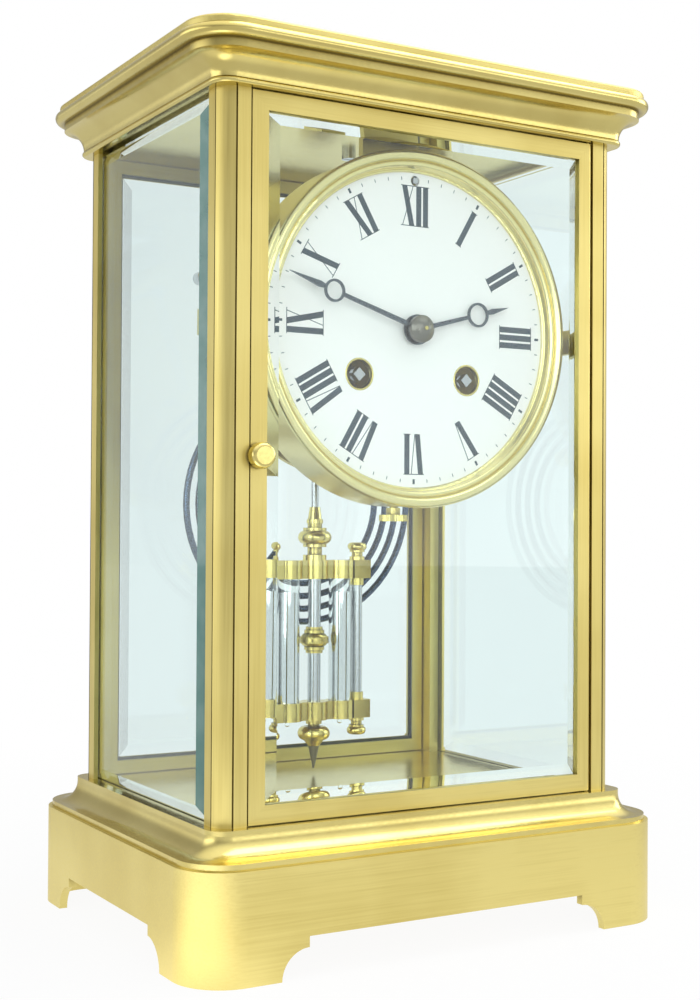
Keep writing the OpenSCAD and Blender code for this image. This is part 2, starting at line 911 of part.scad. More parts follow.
// Two side straps run from the front plate to the front pillars, one runs up to the ceiling
module movement_straps() {
  low = dial_z - strap_h / 2;
  front = -(pillar_y + strap_end);
  y0 = plate_front - strap_t;
  color(brass) {
    for (side = [0, 1])
      mirror([side, 0, 0])
        difference() {
          union() {
            translate([strap_in, y0, low])
              cube([pillar_x - strap_in, strap_t, strap_h]);
            translate([pillar_x - strap_t, front, low])
              cube([strap_t, plate_front - front, strap_h]);
          }
          translate([strap_screw_x, y0 - sliver, dial_z])
            rotate([-90, 0, 0])
              cylinder(h = strap_t + 2 * sliver, r = screw_r + run_clear);
          translate([pillar_x - strap_t - sliver, -strap_screw_y, dial_z])
            rotate([0, 90, 0])
              cylinder(h = strap_t + 2 * sliver, r = screw_r + run_clear);
        }
    difference() {
      union() {
        translate([-top_strap_w / 2, y0, dial_z + plate_r - strap_h])
          cube([top_strap_w, strap_t, case_top - dial_z - plate_r + strap_h]);
        translate([-top_strap_w / 2, plate_front - top_strap_d, case_top - strap_t])
          cube([top_strap_w, top_strap_d, strap_t]);
      }
      at_foot_screws(case_top - strap_t - sliver)
        cylinder(h = strap_t + 2 * sliver, r = screw_r + run_clear);
      for (p = top_screws)
        rod(p, y0 - sliver, plate_front + sliver, screw_r + run_clear);
      rod([0, regulator_h], y0 - sliver, plate_front + sliver, regulator_hole_r);
    }
  }
}

// Spun bezel and drum in one, its lip in front of the dial's edge
module bezel() {
  rim = 1.6;
  rim_h = drum_d + 3;
  rib = 0.9;
  rib_in = bezel_r - 4.1;
  lip = 0.5;
  color(gilt)
    difference() {
      facing(centre_at, drum_back)
        rotate_extrude($fn = 96) {
          polygon([[drum_in_r, 0], [drum_r, 0], [drum_r, rim_h], [rib_in, rim_h],
            [rib_in - rib / 2, rim_h - 0.5], [dial_r + 2 * lip, drum_d + 2 * lip],
            [dial_r, drum_d + lip], [dial_r, drum_d], [drum_in_r, drum_d]]);
          translate([bezel_r - rim, rim_h])
            circle(rim);
          translate([rib_in, rim_h - 0.3])
            circle(rib);
          translate([dial_r + lip, drum_d + lip])
            circle(lip);
        }
      translate([0, thumb_y, dial_z - bezel_r - sliver])
        cylinder(h = 2 * drum_wall + 1, r = screw_r + 2 * run_clear);
    }
}

module dial() {
  color(enamel) {
    difference() {
      rod(centre_at, dial_y, dial_back, dial_r + dial_edge);
      rod(centre_at, dial_y - sliver, dial_back + sliver, dial_hole_r);
      for (p = [going_at, strike_at])
        rod(p, dial_y - sliver, dial_back + sliver, wind_hole_r);
      rod([0, regulator_h], dial_y - sliver, dial_back + sliver, regulator_hole_r + run_clear);
    }
    for (a = dial_foot_angles)
      rod(polar(dial_foot_pitch, a), dial_back, plate_front, dial_foot_r);
  }
}

// Knurled screw under the drum; it holds the drum to the lug on the front plate
module thumb_screw() {
  knurls = 36;
  collar_r = 2.2;
  collar_z = dial_z - drum_r - move_clear;
  collar_len = 2.2;
  color(gilt)
    translate([0, thumb_y, 0]) {
      translate([0, 0, collar_z - collar_len - thumb_t])
        linear_extrude(thumb_t)
          polygon([for (i = [0:2 * knurls - 1]) polar(thumb_r - 0.2 * (i % 2), 180 * i / knurls)]);
      translate([0, 0, collar_z - collar_len])
        cylinder(h = collar_len, r = collar_r);
      translate([0, 0, collar_z])
        cylinder(h = 9, r = screw_r);
    }
}

// Holes that both plates share: plain pivots, hammer, pillars and regulating arbor
module plate_holes(y0, y1) {
  for (a = arbors)
    rod(a[0], y0 - sliver, y1 + sliver, pivot_of(a[1]) + run_clear);
  rod(hammer_at, y0 - sliver, y1 + sliver, hammer_arbor_r + run_clear);
  for (a = pillar_angles)
    rod(polar(pillar_pitch, a), y0 - sliver, y1 + sliver, pillar_r / 2 + run_clear);
  rod([0, regulator_h], y0 - sliver, y1 + sliver, regulator_r + run_clear);
}

module front_plate() {
  color(brass) {
    difference() {
      union() {
        rod(centre_at, plate_front, gap_front, plate_r);
        translate([-lug_w / 2, plate_front - lug_d, dial_z - drum_in_r + 1])
          cube([lug_w, lug_d, drum_in_r - 1 - lug_top]);
      }
      plate_holes(plate_front, gap_front);
      rod(centre_at, plate_front - sliver, gap_front + sliver, centre_r + run_clear);
      rod(pallet_at, plate_front - sliver, gap_front + sliver, pivot_r + run_clear);
      for (p = [going_at, strike_at])
        rod(p, plate_front - sliver, gap_front + sliver, wind_r + run_clear);
      for (x = [-strap_screw_x, strap_screw_x])
        rod([x, 0], plate_front - sliver, gap_front + sliver, screw_r + run_clear);
      for (p = top_screws)
        rod(p, plate_front - sliver, gap_front + sliver, screw_r + run_clear);
      translate([0, thumb_y, dial_z - drum_in_r])
        cylinder(h = 10, r = screw_r + run_clear);
    }
    rod(minute_at, plate_front - stud_len, plate_front, stud_r);
  }
}

module back_plate() {
  color(brass)
    difference() {
      rod(centre_at, gap_back, plate_back, plate_r);
      plate_holes(gap_back, plate_back);
      rod(centre_at, gap_back - sliver, plate_back + sliver, pivot_r + run_clear);
      rod(pallet_at, gap_back - sliver, plate_back + sliver, arbor_r + 3 * move_clear);
      for (p = [going_at, strike_at])
        rod(p, gap_back - sliver, plate_back + sliver, wind_pivot_r + run_clear);
    }
}

module plate_pillars() {
  belt = 3.2;
  color(brass)
    for (a = pillar_angles) {
      p = polar(pillar_pitch, a);
      rod(p, gap_front, gap_back, pillar_r);
      rod(p, plate_front, plate_back, pillar_r / 2);
      for (y = [gap_front, gap_back - belt / 2, (gap_front + gap_back - belt / 2) / 2])
        rod(p, y, y + belt / 2, belt);
    }
}

// Clicks stand just clear of the ratchets, on screws in the front plate
module ratchet_clicks() {
  y1 = plate_front - ratchet_gap;
  color(steel)
    for (s = [-1, 1]) {
      p = [s * wind_x, -wind_drop] + polar(click_reach, s > 0 ? -60 : -120);
      facing(p, y1)
        linear_extrude(ratchet_t)
          polygon(click_w * [[-0.5, -0.4], [0.5, -0.4], [0.5, 0.25], [s * -0.3, 0.72], [-0.5, 0.25]]);
      rod(p, plate_front - ratchet_gap, plate_front, click_w / 4);
      rod(p, y1 - ratchet_t - click_w / 4, y1 - ratchet_t, click_w * 0.375);
    }
}

// Toothed outline with straight-sided teeth; the first tooth lies along x
module toothed(n, m, add, ded, root_w, tip_w) {
  r = n * m / 2;
  step = 360 / n;
  polygon([for (i = [0:n - 1], c = [[-root_w, -ded], [-tip_w, add], [tip_w, add], [root_w, -ded]])
    polar(r + c[1] * m, (i + c[0] / 2) * step)]);
}

// Wheel with five spokes; flat sided all round
module wheel(n, m, t, hole_r) {
  rim = 1.4;
  spoke_w = 1.3;
  hub = hole_r + 1.6;
  inner = n * m / 2 - wheel_ded * m - rim;
  linear_extrude(t)
    difference() {
      toothed(n, m, wheel_add, wheel_ded, wheel_root_w, wheel_tip_w);
      circle(hole_r, $fn = 12);
      for (i = [0:4])
        spoke_window(72 * i, hub, inner, spoke_w / 2);
    }
}

// Window between two spokes, with straight sides parallel to the spokes
module spoke_window(turn, r0, r1, side) {
  function edge(r) = asin(side / r);
  steps = 6;
  rotate(turn)
    polygon(concat(
      [for (i = [0:steps]) polar(r1, edge(r1) + (72 - 2 * edge(r1)) * i / steps)],
      [for (i = [steps:-1:0]) polar(r0, edge(r0) + (72 - 2 * edge(r0)) * i / steps)]));
}

module pinion(n, m, len, hole_r) {
  linear_extrude(len)
    difference() {
      toothed(n, m, leaf_add, leaf_ded, leaf_root_w, leaf_tip_w);
      circle(hole_r, $fn = 12);
    }
}

// Arbor with a pivot in each plate, its thin stretch under the pinion
module arbor(p, core_r) {
  rod(p, gap_front + end_shake, gap_back - end_shake, core_r);
  rod(p, plate_front + pivot_short, gap_front + end_shake, pivot_of(core_r));
  rod(p, gap_back - end_shake, plate_back - pivot_short, pivot_of(core_r));
}

module train_wheel(p, layer, n, m, hole_r) {
  facing(p, gap_front + layer + wheel_t)
    wheel(n, m, wheel_t, hole_r);
}

// Pinion at p in mesh with the wheel at q in the given layer
module train_pinion(p, q, layer, t, leaves, wheel, m, hole_r) {
  facing(p, gap_front + layer + t + pinion_over)
    rotate(mesh_turn(q, p, wheel, leaves))
      pinion(leaves, m, t + 2 * pinion_over, hole_r);
}

// Barrel with its great wheel at the front, and a lid at the back
module barrel(p) {
  tip_r = great_n * great_m / 2 - wheel_ded * great_m;
  y0 = gap_front + layer_great;
  color(gilt) {
    facing(p, y0 + great_t)
      linear_extrude(great_t)
        difference() {
          toothed(great_n, great_m, wheel_add, wheel_ded, wheel_root_w, wheel_tip_w);
          circle(wind_r + 2 * run_clear, $fn = 12);
        }
    difference() {
      rod(p, y0 + great_t + seam, y0 + barrel_len, tip_r - 0.5);
      rod(p, y0 + great_t - sliver, y0 + barrel_len - barrel_lid, tip_r - 0.5 - barrel_wall);
      rod(p, y0, y0 + barrel_len + sliver, wind_r + run_clear);
    }
  }
}

module going_barrel() barrel(going_at);

module strike_barrel() barrel(strike_at);

// Flat coiled spring inside a barrel, from its hub to its wall
module mainspring(p) {
  r0 = 4.5;
  r1 = great_n * great_m / 2 - wheel_ded * great_m - 0.5 - barrel_wall - 0.8;
  turns = 6;
  leaf = 0.5;
  steps = 24 * turns;
  y0 = gap_front + layer_great + great_t + end_shake;
  y1 = gap_front + layer_great + barrel_len - barrel_lid - end_shake;
  function coil(i, grow) = polar(r0 + (r1 - r0) * i / steps + grow, 15 * i);
  color(blued)
    facing(p, y1)
      linear_extrude(y1 - y0)
        polygon(concat([for (i = [0:steps]) coil(i, leaf)], [for (i = [steps:-1:0]) coil(i, 0)]));
}

module going_mainspring() mainspring(going_at);

module strike_mainspring() mainspring(strike_at);

// Winding arbor: square at the dial, ratchet before the front plate, hub in the barrel
module winding_arbor(p) {
  hub_r = 4;
  y0 = gap_front + layer_great + great_t + end_shake;
  y1 = gap_front + layer_great + barrel_len - barrel_lid - end_shake;
  step = 360 / ratchet_n;
  tooth = 0.9;
  color(steel) {
    rod(p, dial_y + wind_square_len / 2, gap_back - end_shake, wind_r);
    rod(p, gap_back - end_shake, plate_back, wind_pivot_r);
    rod(p, y0, y1, hub_r);
    facing(p, dial_y + wind_square_len / 2)
      rotate(45)
        linear_extrude(wind_square_len / 2)
          square(wind_square, center = true);
    facing(p, plate_front - ratchet_gap)
      linear_extrude(ratchet_t)
        difference() {
          polygon([for (i = [0:ratchet_n - 1], k = [0, 1])
            polar(ratchet_r - tooth * k, (i + 0.12 * k) * step)]);
          circle(wind_r + 2 * run_clear, $fn = 12);
        }
  }
}

module going_winding_arbor() winding_arbor(going_at);

module strike_winding_arbor() winding_arbor(strike_at);

module going_second_wheel() {
  color(gilt)
    train_wheel(second_at, layer_second, second_n, second_m, arbor_r + run_clear);
  color(steel) {
    train_pinion(second_at, going_at, layer_great, great_t, great_leaves, great_n, great_m,
      arbor_r + run_clear);
    arbor(second_at, arbor_r);
  }
}

module centre_wheel() {
  color(gilt)
    train_wheel(centre_at, layer_centre, centre_n, centre_m, centre_r + run_clear);
  color(steel) {
    train_pinion(centre_at, second_at, layer_second, wheel_t, centre_leaves, second_n, second_m,
      centre_r + run_clear);
    rod(centre_at, minute_hand_y - hand_t, gap_back - end_shake, centre_r);
    rod(centre_at, gap_back - end_shake, plate_back, pivot_r);
  }
}

module third_wheel() {
  fine_r = third_r;
  color(gilt)
    train_wheel(third_at, layer_great, third_n, third_m, fine_r + run_clear);
  color(steel) {
    train_pinion(third_at, centre_at, layer_centre, wheel_t, third_leaves, centre_n, centre_m,
      fine_r + run_clear);
    arbor(third_at, fine_r);
  }
}

module escape_wheel() {
  fine_r = escape_arbor_r;
  step = 360 / escape_n;
  depth = 1.5;
  color(gilt)
    facing(escape_at, gap_front + layer_escape + wheel_t)
      linear_extrude(wheel_t)
        difference() {
          polygon([for (i = [0:escape_n - 1], c = [[0, 0], [0.12, 0], [0.3, 1], [0.8, 1]])
            polar(escape_r - depth * c[1], (i + c[0]) * step)]);
          circle(fine_r + run_clear, $fn = 12);
          for (i = [0:4])
            spoke_window(72 * i, 2.2, escape_r - depth - 1.2, 0.6);
        }
  color(steel) {
    train_pinion(escape_at, third_at, layer_great, wheel_t, escape_leaves, third_n, third_m,
      fine_r + run_clear);
    arbor(escape_at, fine_r);
  }
}

// Pallet anchor, its arbor, and the crutch that reaches back to the pendulum rod
module pallet_anchor() {
  y1 = gap_front + layer_escape + wheel_t;
  clear = escape_r + 1.1;
  hub = 2.4;
  tip = escape_at - pallet_at;
  fork_z = dial_z + pallet_at[1] - crutch_len;
  fork_x = rod_r + move_clear + fork_r;
  function inner(a) = tip + polar(clear, a);
  function outer(a) = tip + polar(clear + 1.6, a);
  color(steel) {
    facing(pallet_at, y1)
      linear_extrude(wheel_t)
        difference() {
          polygon(concat([for (a = [45:15:135]) inner(a)], [for (a = [135:-15:120]) outer(a)],
            [[-hub, 0], [-hub, hub], [hub, hub], [hub, 0]], [for (a = [60:-15:45]) outer(a)]));
          circle(arbor_r + run_clear, $fn = 12);
        }
    rod(pallet_at, gap_front + end_shake, cock_y - end_shake, arbor_r);
    rod(pallet_at, plate_front + pivot_short, gap_front + end_shake, pivot_r);
    rod(pallet_at, cock_y - end_shake, cock_y + cock_t - pivot_short, pivot_r);
    difference() {
      union() {
        translate([-crutch_r, crutch_y - crutch_r, fork_z])
          cube([2 * crutch_r, 2 * crutch_r, crutch_len]);
        rod(pallet_at, crutch_y - crutch_r, crutch_y + crutch_r, hub);
      }
      rod(pallet_at, crutch_y - 2, crutch_y + 2, arbor_r + run_clear);
    }
    for (x = [-fork_x, fork_x]) {
      translate([x - fork_r, crutch_y - crutch_r, fork_z - 2 * fork_r])
        cube([2 * fork_r, pendulum_y + 3 - crutch_y, 2 * fork_r]);
    }
    translate([-fork_x - fork_r, crutch_y - crutch_r, fork_z - 2 * fork_r])
      cube([2 * (fork_x + fork_r), 2 * crutch_r, 2 * fork_r + sliver]);
  }
}

module strike_second_wheel() {
  color(gilt)
    train_wheel(strike_second_at, layer_second, strike_n, strike_m, arbor_r + run_clear);
  color(steel) {
    train_pinion(strike_second_at, strike_at, layer_great, great_t, great_leaves, great_n, great_m,
      arbor_r + run_clear);
    arbor(strike_second_at, arbor_r);
  }
}

module pin_wheel() {
  pins = 10;
  lift_r = 7.2;
  thin_r = third_r;
  color(gilt)
    train_wheel(pin_at, layer_great, pin_n, pin_m, thin_r + run_clear);
  color(steel) {
    train_pinion(pin_at, strike_second_at, layer_second, wheel_t, pin_leaves, strike_n, strike_m,
      thin_r + run_clear);
    arbor(pin_at, thin_r);
    for (i = [0:pins - 1])
      rod(pin_at + polar(lift_r, 360 * i / pins), gap_front + layer_great + wheel_t,
        gap_front + layer_great + wheel_t + 2.4, 0.4);
  }
}

module locking_wheel() {
  fine_r = locking_r;
  color(gilt)
    train_wheel(locking_at, layer_centre, locking_n, locking_m, fine_r + run_clear);
  color(steel) {
    train_pinion(locking_at, pin_at, layer_great, wheel_t, locking_leaves, pin_n, pin_m,
      fine_r + run_clear);
    arbor(locking_at, fine_r);
  }
}

module warning_wheel() {
  fine_r = locking_r;
  color(gilt)
    train_wheel(warning_at, layer_warning, warning_n, warning_m, fine_r + run_clear);
  color(steel) {
    train_pinion(warning_at, locking_at, layer_centre, wheel_t, warning_leaves, locking_n, locking_m,
      fine_r + run_clear);
    arbor(warning_at, fine_r);
  }
}

module fly() {
  y0 = gap_front + layer_second;
  y1 = gap_back - 2.5 * wheel_t;
  color(steel) {
    train_pinion(fly_at, warning_at, layer_warning, wheel_t, fly_leaves, warning_n, warning_m,
      fly_r + run_clear);
    arbor(fly_at, fly_r);
  }
  color(gilt)
    facing(fly_at, y1)
      linear_extrude(y1 - y0)
        difference() {
          union() {
            square([2 * fly_vane, fly_vane_t], center = true);
            circle(fly_hub_r, $fn = 12);
          }
          circle(fly_r + run_clear, $fn = 12);
        }
}

// Hammer: a long arbor, a tail beside the lifting pins, and a head beside the gong
module hammer() {
  coil_turn = 360 * (ceil(gong_turns) - 1) + hammer_strike - gong_start;
  coil_r = gong_radius(coil_turn) + gong_wire_r;
  head_at = [0, gong_z - dial_z] + polar(coil_r + hammer_gap + hammer_head_r, hammer_strike);
  arm_len = norm(head_at - hammer_at);
  lean = atan2(hammer_at[0] - head_at[0], hammer_at[1] - head_at[1]);
  tail_y = gap_front + layer_great + wheel_t + 1.2;
  color(steel) {
    rod(hammer_at, plate_front, gong_y + 2, hammer_arbor_r);
    facing(hammer_at, tail_y + 1) {
      linear_extrude(1)
        difference() {
          union() {
            circle(2, $fn = 12);
            rotate(heading(hammer_at, pin_at))
              translate([0, -0.7])
                square([hammer_tail, 1.4]);
          }
          circle(hammer_arbor_r + run_clear, $fn = 12);
        }
    }
    translate([hammer_at[0], gong_y, dial_z + hammer_at[1]])
      rotate([0, 180 + lean, 0])
        translate([0, 0, 2])
          cylinder(h = arm_len - 2 - hammer_head_r + 0.2, r = 0.9);
  }
  color(gilt) {
    difference() {
      rod(hammer_at, gong_y - 2, gong_y + 2, 2.2);
      rod(hammer_at, gong_y - 3, gong_y + 3, hammer_arbor_r + run_clear);
    }
    rod(head_at, gong_y - hammer_head_len / 2, gong_y + hammer_head_len / 2, hammer_head_r);
  }
}

module cannon_pinion() {
  y0 = plate_front - 1;
  long = 2;
  color(steel) {
    facing(centre_at, y0)
      linear_extrude(long)
        difference() {
          toothed(cannon_n, motion_m, leaf_add, leaf_ded, leaf_root_w, leaf_tip_w);
          circle(centre_r + 2 * run_clear, $fn = 12);
        }
    difference() {
      rod(centre_at, minute_hand_y - hand_t, y0 - long, cannon_r);
      rod(centre_at, minute_hand_y - hand_t - sliver, y0, centre_r + run_clear);
    }
  }
}

module minute_wheel() {
  y1 = plate_front - 1.3;
  top = plate_front - stud_len + 0.6;
  color(gilt)
    facing(minute_at, y1)
      rotate(mesh_turn(centre_at, minute_at, cannon_n, minute_n))
        linear_extrude(wheel_t)
          difference() {
            toothed(minute_n, motion_m, wheel_add, wheel_ded, wheel_root_w, wheel_tip_w);
            circle(stud_r + 2 * run_clear, $fn = 12);
          }
  color(steel)
    facing(minute_at, y1 - wheel_t)
      rotate(mesh_turn(centre_at, minute_at, hour_n, minute_leaves))
        linear_extrude(y1 - wheel_t - top)
          difference() {
            toothed(minute_leaves, hour_m, leaf_add, leaf_ded, leaf_root_w, leaf_tip_w);
            circle(stud_r + run_clear, $fn = 12);
          }
}

module hour_wheel() {
  y1 = plate_front - 4.5;
  color(gilt) {
    facing(centre_at, y1)
      linear_extrude(wheel_t)
        difference() {
          toothed(hour_n, hour_m, wheel_add, wheel_ded, wheel_root_w, wheel_tip_w);
          circle(cannon_r + 3 * hour_pipe_gap, $fn = 12);
        }
    difference() {
      rod(centre_at, hour_hand_y - hand_t, y1 - wheel_t, hour_pipe_r);
      rod(centre_at, hour_hand_y - hand_t - sliver, y1, cannon_r + hour_pipe_gap);
    }
  }
}

// Flat hand with a hollow moon near its tip, pointing up before it is turned
module hand_outline(len, moon_at, moon_r, boss_r, hole_r) {
  root_w = 1.5;
  neck_w = 1.1;
  wall = 0.7;
  blade_w = 1.8;
  blade_z = moon_at + moon_r;
  difference() {
    union() {
      circle(boss_r);
      polygon([[-root_w / 2, 0], [root_w / 2, 0], [neck_w / 2, moon_at], [-neck_w / 2, moon_at]]);
      translate([0, moon_at])
        circle(moon_r);
      polygon([[-neck_w / 2, blade_z - wall / 2], [neck_w / 2, blade_z - wall / 2],
        [blade_w / 2, blade_z + blade_w], [0, len], [-blade_w / 2, blade_z + blade_w]]);
    }
    circle(hole_r);
    translate([0, moon_at])
      circle(moon_r - wall);
  }
}

module hour_hand() {
  color(blued)
    facing(centre_at, hour_hand_y)
      rotate(-hour_angle)
        linear_extrude(hand_t)
          hand_outline(hour_len, hour_moon_at, hour_moon_r, 4.6, hour_pipe_r + run_clear);
}

module minute_hand() {
  color(blued)
    facing(centre_at, minute_hand_y)
      rotate(-minute_angle)
        linear_extrude(hand_t)
          hand_outline(minute_len, minute_moon_at, minute_moon_r, 4, cannon_r + run_clear);
}

// Domed washer and pin that hold the minute hand
module hand_nut() {
  dome_r = 4.1;
  rim = 1.4;
  crown = nut_len - rim;
  ball_r = (dome_r * dome_r + crown * crown) / (2 * crown);
  pin_r = 0.6;
  color(steel)
    facing(centre_at, minute_hand_y - hand_t) {
      rotate_extrude() {
        square([dome_r, rim]);
        intersection() {
          translate([0, nut_len - ball_r])
            circle(ball_r, $fn = 120);
          square([dome_r, nut_len]);
        }
      }
      cylinder(h = nut_len + pin_r / 2, r = pin_r);
    }
}

module suspension_cock() {
  y0 = cock_y;
  foot_z = pivot_z - cock_foot;
  color(brass)
    difference() {
      union() {
        translate([-cock_half_w, y0, foot_z])
          cube([2 * cock_half_w, cock_t, cock_foot - 6]);
        translate([-cock_bar_w / 2, y0, foot_z])
          cube([cock_bar_w, cock_t, cock_foot + cock_bar_h]);
        for (x = [-cock_half_w, cock_half_w - cock_leg_w])
          translate([x, plate_back, foot_z])
            cube([cock_leg_w, cock_gap, dial_z + plate_r - foot_z - 4]);
        translate([-cock_bar_w / 2, y0, pivot_z])
          cube([cock_bar_w, cock_bar_y - y0, cock_bar_h]);
      }
      rod(pallet_at, y0 - sliver, y0 + cock_t + sliver, pivot_r + run_clear);
      rod([0, regulator_h], y0 - sliver, y0 + cock_t + sliver, regulator_r + run_clear);
      translate([-spring_slot / 2, pendulum_y - spring_w / 2 - move_clear, pivot_z - sliver])
        cube([spring_slot, spring_w + 2 * move_clear, spring_above + move_clear + sliver]);
    }
}

module suspension_spring() {
  color(steel)
    translate([-spring_t / 2, pendulum_y - spring_w / 2, pivot_z - block_drop - block_h / 2])
      cube([spring_t, spring_w, block_drop + block_h / 2 + spring_above]);
}

module regulator_arbor() {
  square_out = 0.3;
  square_y = dial_back + 1;
  color(steel) {
    rod([0, regulator_h], square_y, cock_y + cock_t, regulator_r);
    facing([0, regulator_h], square_y)
      linear_extrude(square_y - dial_y + square_out)
        square(regulator_r * sqrt(2), center = true);
  }
}

// Radius of the gong's wire line at an angle measured from its inner end
function gong_radius(a) = gong_in_r + gong_pitch * a / 360;
function gong_point(a) = polar(gong_radius(a), gong_start + a);
gong_steps = gong_rings * gong_turns;
gong_path = concat(
  [gong_point(0) - 2 * gong_wire_r * polar(1, gong_start + 90)],
  [for (i = [0:gong_steps]) gong_point(i * 360 / gong_rings)],
  [gong_point(gong_turns * 360) + 2 * gong_wire_r * polar(1, gong_start + gong_turns * 360 + 90)]);
gong_least = min([for (i = [1:len(gong_path) - 1], j = [i + gong_rings / 2:1:len(gong_path) - 1])
  norm(gong_path[i] - gong_path[j])]) - 2 * gong_wire_r;
echo(gong_least_gap = gong_least);

// Ring of points round the gong's line at station i
function gong_ring(i) =
  let (a = max(i - 1, 0), b = min(i + 1, len(gong_path) - 1),
    t = (gong_path[b] - gong_path[a]) / norm(gong_path[b] - gong_path[a]),
    side = [t[1], -t[0]], p = gong_path[i])
  [for (k = [0:gong_sides - 1])
    let (u = gong_wire_r * cos(k * 360 / gong_sides), v = gong_wire_r * sin(k * 360 / gong_sides))
    [p[0] + u * side[0], gong_y + v, gong_z + p[1] + u * side[1]]];

module gong() {
  n = len(gong_path);
  s = gong_sides;
  color(blued)
    polyhedron(
      points = [for (i = [0:n - 1]) each gong_ring(i)],
      faces = concat(
        [for (k = [1:s - 2]) [0, k, k + 1]],
        [for (i = [0:n - 2], k = [0:s - 1], half = [0, 1])
          let (a = i * s + k, b = i * s + (k + 1) % s)
          half == 0 ? [b, a, a + s] : [b, a + s, b + s]],
        [for (k = [1:s - 2]) [(n - 1) * s, (n - 1) * s + k + 1, (n - 1) * s + k]]));
}

module gong_stand() {
  end = gong_path[0];
  mid = end + polar(gong_block_len / 2, gong_start - 90)
    - polar((gong_block_in - gong_block_out) / 2, gong_start);
  at = mid + [0, gong_z - dial_z];
  deep = 2 * gong_wire_r + 2.4;
  color(brass) {
    rod(at, plate_back, gong_y, gong_post_r);
    translate([mid[0], gong_y, gong_z + mid[1]])
      rotate([0, -gong_start, 0])
        cube([gong_block_in + gong_block_out, deep, gong_block_len], center = true);
  }
}

module pendulum_rod() {
  half = 4;
  block_x = 2.4;
  top = pivot_z - block_drop;
  color(steel) {
    difference() {
      translate([-block_x, pendulum_y - half, top - block_h])
        cube([2 * block_x, 2 * half, block_h]);
      translate([-spring_t / 2 - run_clear, pendulum_y - spring_w / 2 - run_clear, top - block_h / 2])
        cube([spring_t + 2 * run_clear, spring_w + 2 * run_clear, block_h]);
    }
    translate([0, pendulum_y, collar_top])
      cylinder(h = top - block_h - collar_top, r = rod_r);
    translate([0, pendulum_y, lower_bar_z + bar_h])
      cylinder(h = vial_h, r = centre_rod_r);
    translate([0, pendulum_y, point_z])
      cylinder(h = point_h, r1 = 0.3, r2 = 1.9);
  }
}

module bar_plan() {
  circle(centre_rod_r + 2.4);
  square([2 * column_x, bar_depth - 3], center = true);
  for (s = [-1, 1]) {
    translate([s * vial_x, 0])
      circle(vial_r + vial_rim);
    translate([s * column_x, 0])
      square([bar_end_w, bar_depth], center = true);
  }
}

module pendulum_bars() {
  color(gilt)
    for (z = [lower_bar_z, upper_bar_z])
      translate([0, pendulum_y, 0])
        difference() {
          translate([0, 0, z])
            linear_extrude(bar_h)
              bar_plan();
          for (s = [-1, 1])
            translate([s * vial_x, 0, lower_bar_z + bar_h - vial_sink])
              cylinder(h = vial_h + 2 * vial_sink, r = vial_r + run_clear);
        }
}

module at_vials() {
  for (s = [-1, 1])
    translate([s * vial_x, pendulum_y, lower_bar_z + bar_h - vial_sink])
      children();
}

module mercury_vials() {
  tall = vial_h + 2 * vial_sink;
  color(clear_glass)
    at_vials()
      difference() {
        cylinder(h = tall, r = vial_r);
        translate([0, 0, vial_wall])
          cylinder(h = tall - 2 * vial_wall, r = vial_r - vial_wall);
      }
}

module mercury() {
  color(quicksilver)
    at_vials()
      translate([0, 0, vial_wall])
        cylinder(h = vial_h + vial_sink - mercury_gap, r = vial_r - vial_wall);
}

// Turned finial on a column, standing up from its seat
module column_finial() {
  rotate_extrude() {
    square([tip_r, tip_h]);
    square([tip_ring_r, tip_h * 0.22]);
    translate([0, tip_h / 2])
      square([tip_ring_r, tip_h * 0.13]);
    translate([tip_r, tip_h * 0.85])
      circle(tip_bead_r);
  }
}

module pendulum_columns() {
  for (s = [-1, 1])
    translate([s * column_x, pendulum_y, 0]) {
      color(steel)
        translate([0, 0, lower_bar_z + bar_h])
          cylinder(h = vial_h, r = column_r);
      color(gilt) {
        for (z = [lower_bar_z + bar_h, upper_bar_z - column_collar_h])
          translate([0, 0, z])
            difference() {
              cylinder(h = column_collar_h, r = column_r + column_collar_t);
              translate([0, 0, -sliver])
                cylinder(h = column_collar_h + 2 * sliver, r = column_r);
            }
        translate([0, 0, upper_bar_z + bar_h])
          column_finial();
        translate([0, 0, lower_bar_z])
          mirror([0, 0, 1])
            column_finial();
      }
    }
}

// Upper collar, as radius and height above the top bar
module collar_profile() {
  taper_z = collar_h * 0.72;
  square([collar_r, collar_h / 10]);
  square([collar_neck_r, taper_z]);
  translate([0, collar_h / 4])
    square([collar_r, collar_h * 0.36]);
  translate([collar_r * 0.85, collar_h * 0.43])
    circle(collar_bead_r);
  translate([0, collar_h * 0.69])
    square([collar_r * 0.7, collar_h * 0.08]);
  polygon([[0, taper_z], [collar_neck_r, taper_z], [collar_neck_r * 0.72, collar_h], [0, collar_h]]);
}

// Lower finial, as radius and depth below the bottom bar
module finial_profile() {
  taper_z = finial_h * 0.7;
  square([finial_neck_r * 1.35, finial_h * 0.16]);
  square([finial_neck_r, taper_z]);
  translate([finial_neck_r * 1.6, finial_h * 0.52])
    circle(finial_bead_r);
  translate([0, finial_h * 0.3])
    square([finial_neck_r * 1.6, finial_h * 0.48]);
  polygon([[0, taper_z], [finial_neck_r * 2, taper_z], [finial_neck_r, finial_h], [0, finial_h]]);
}

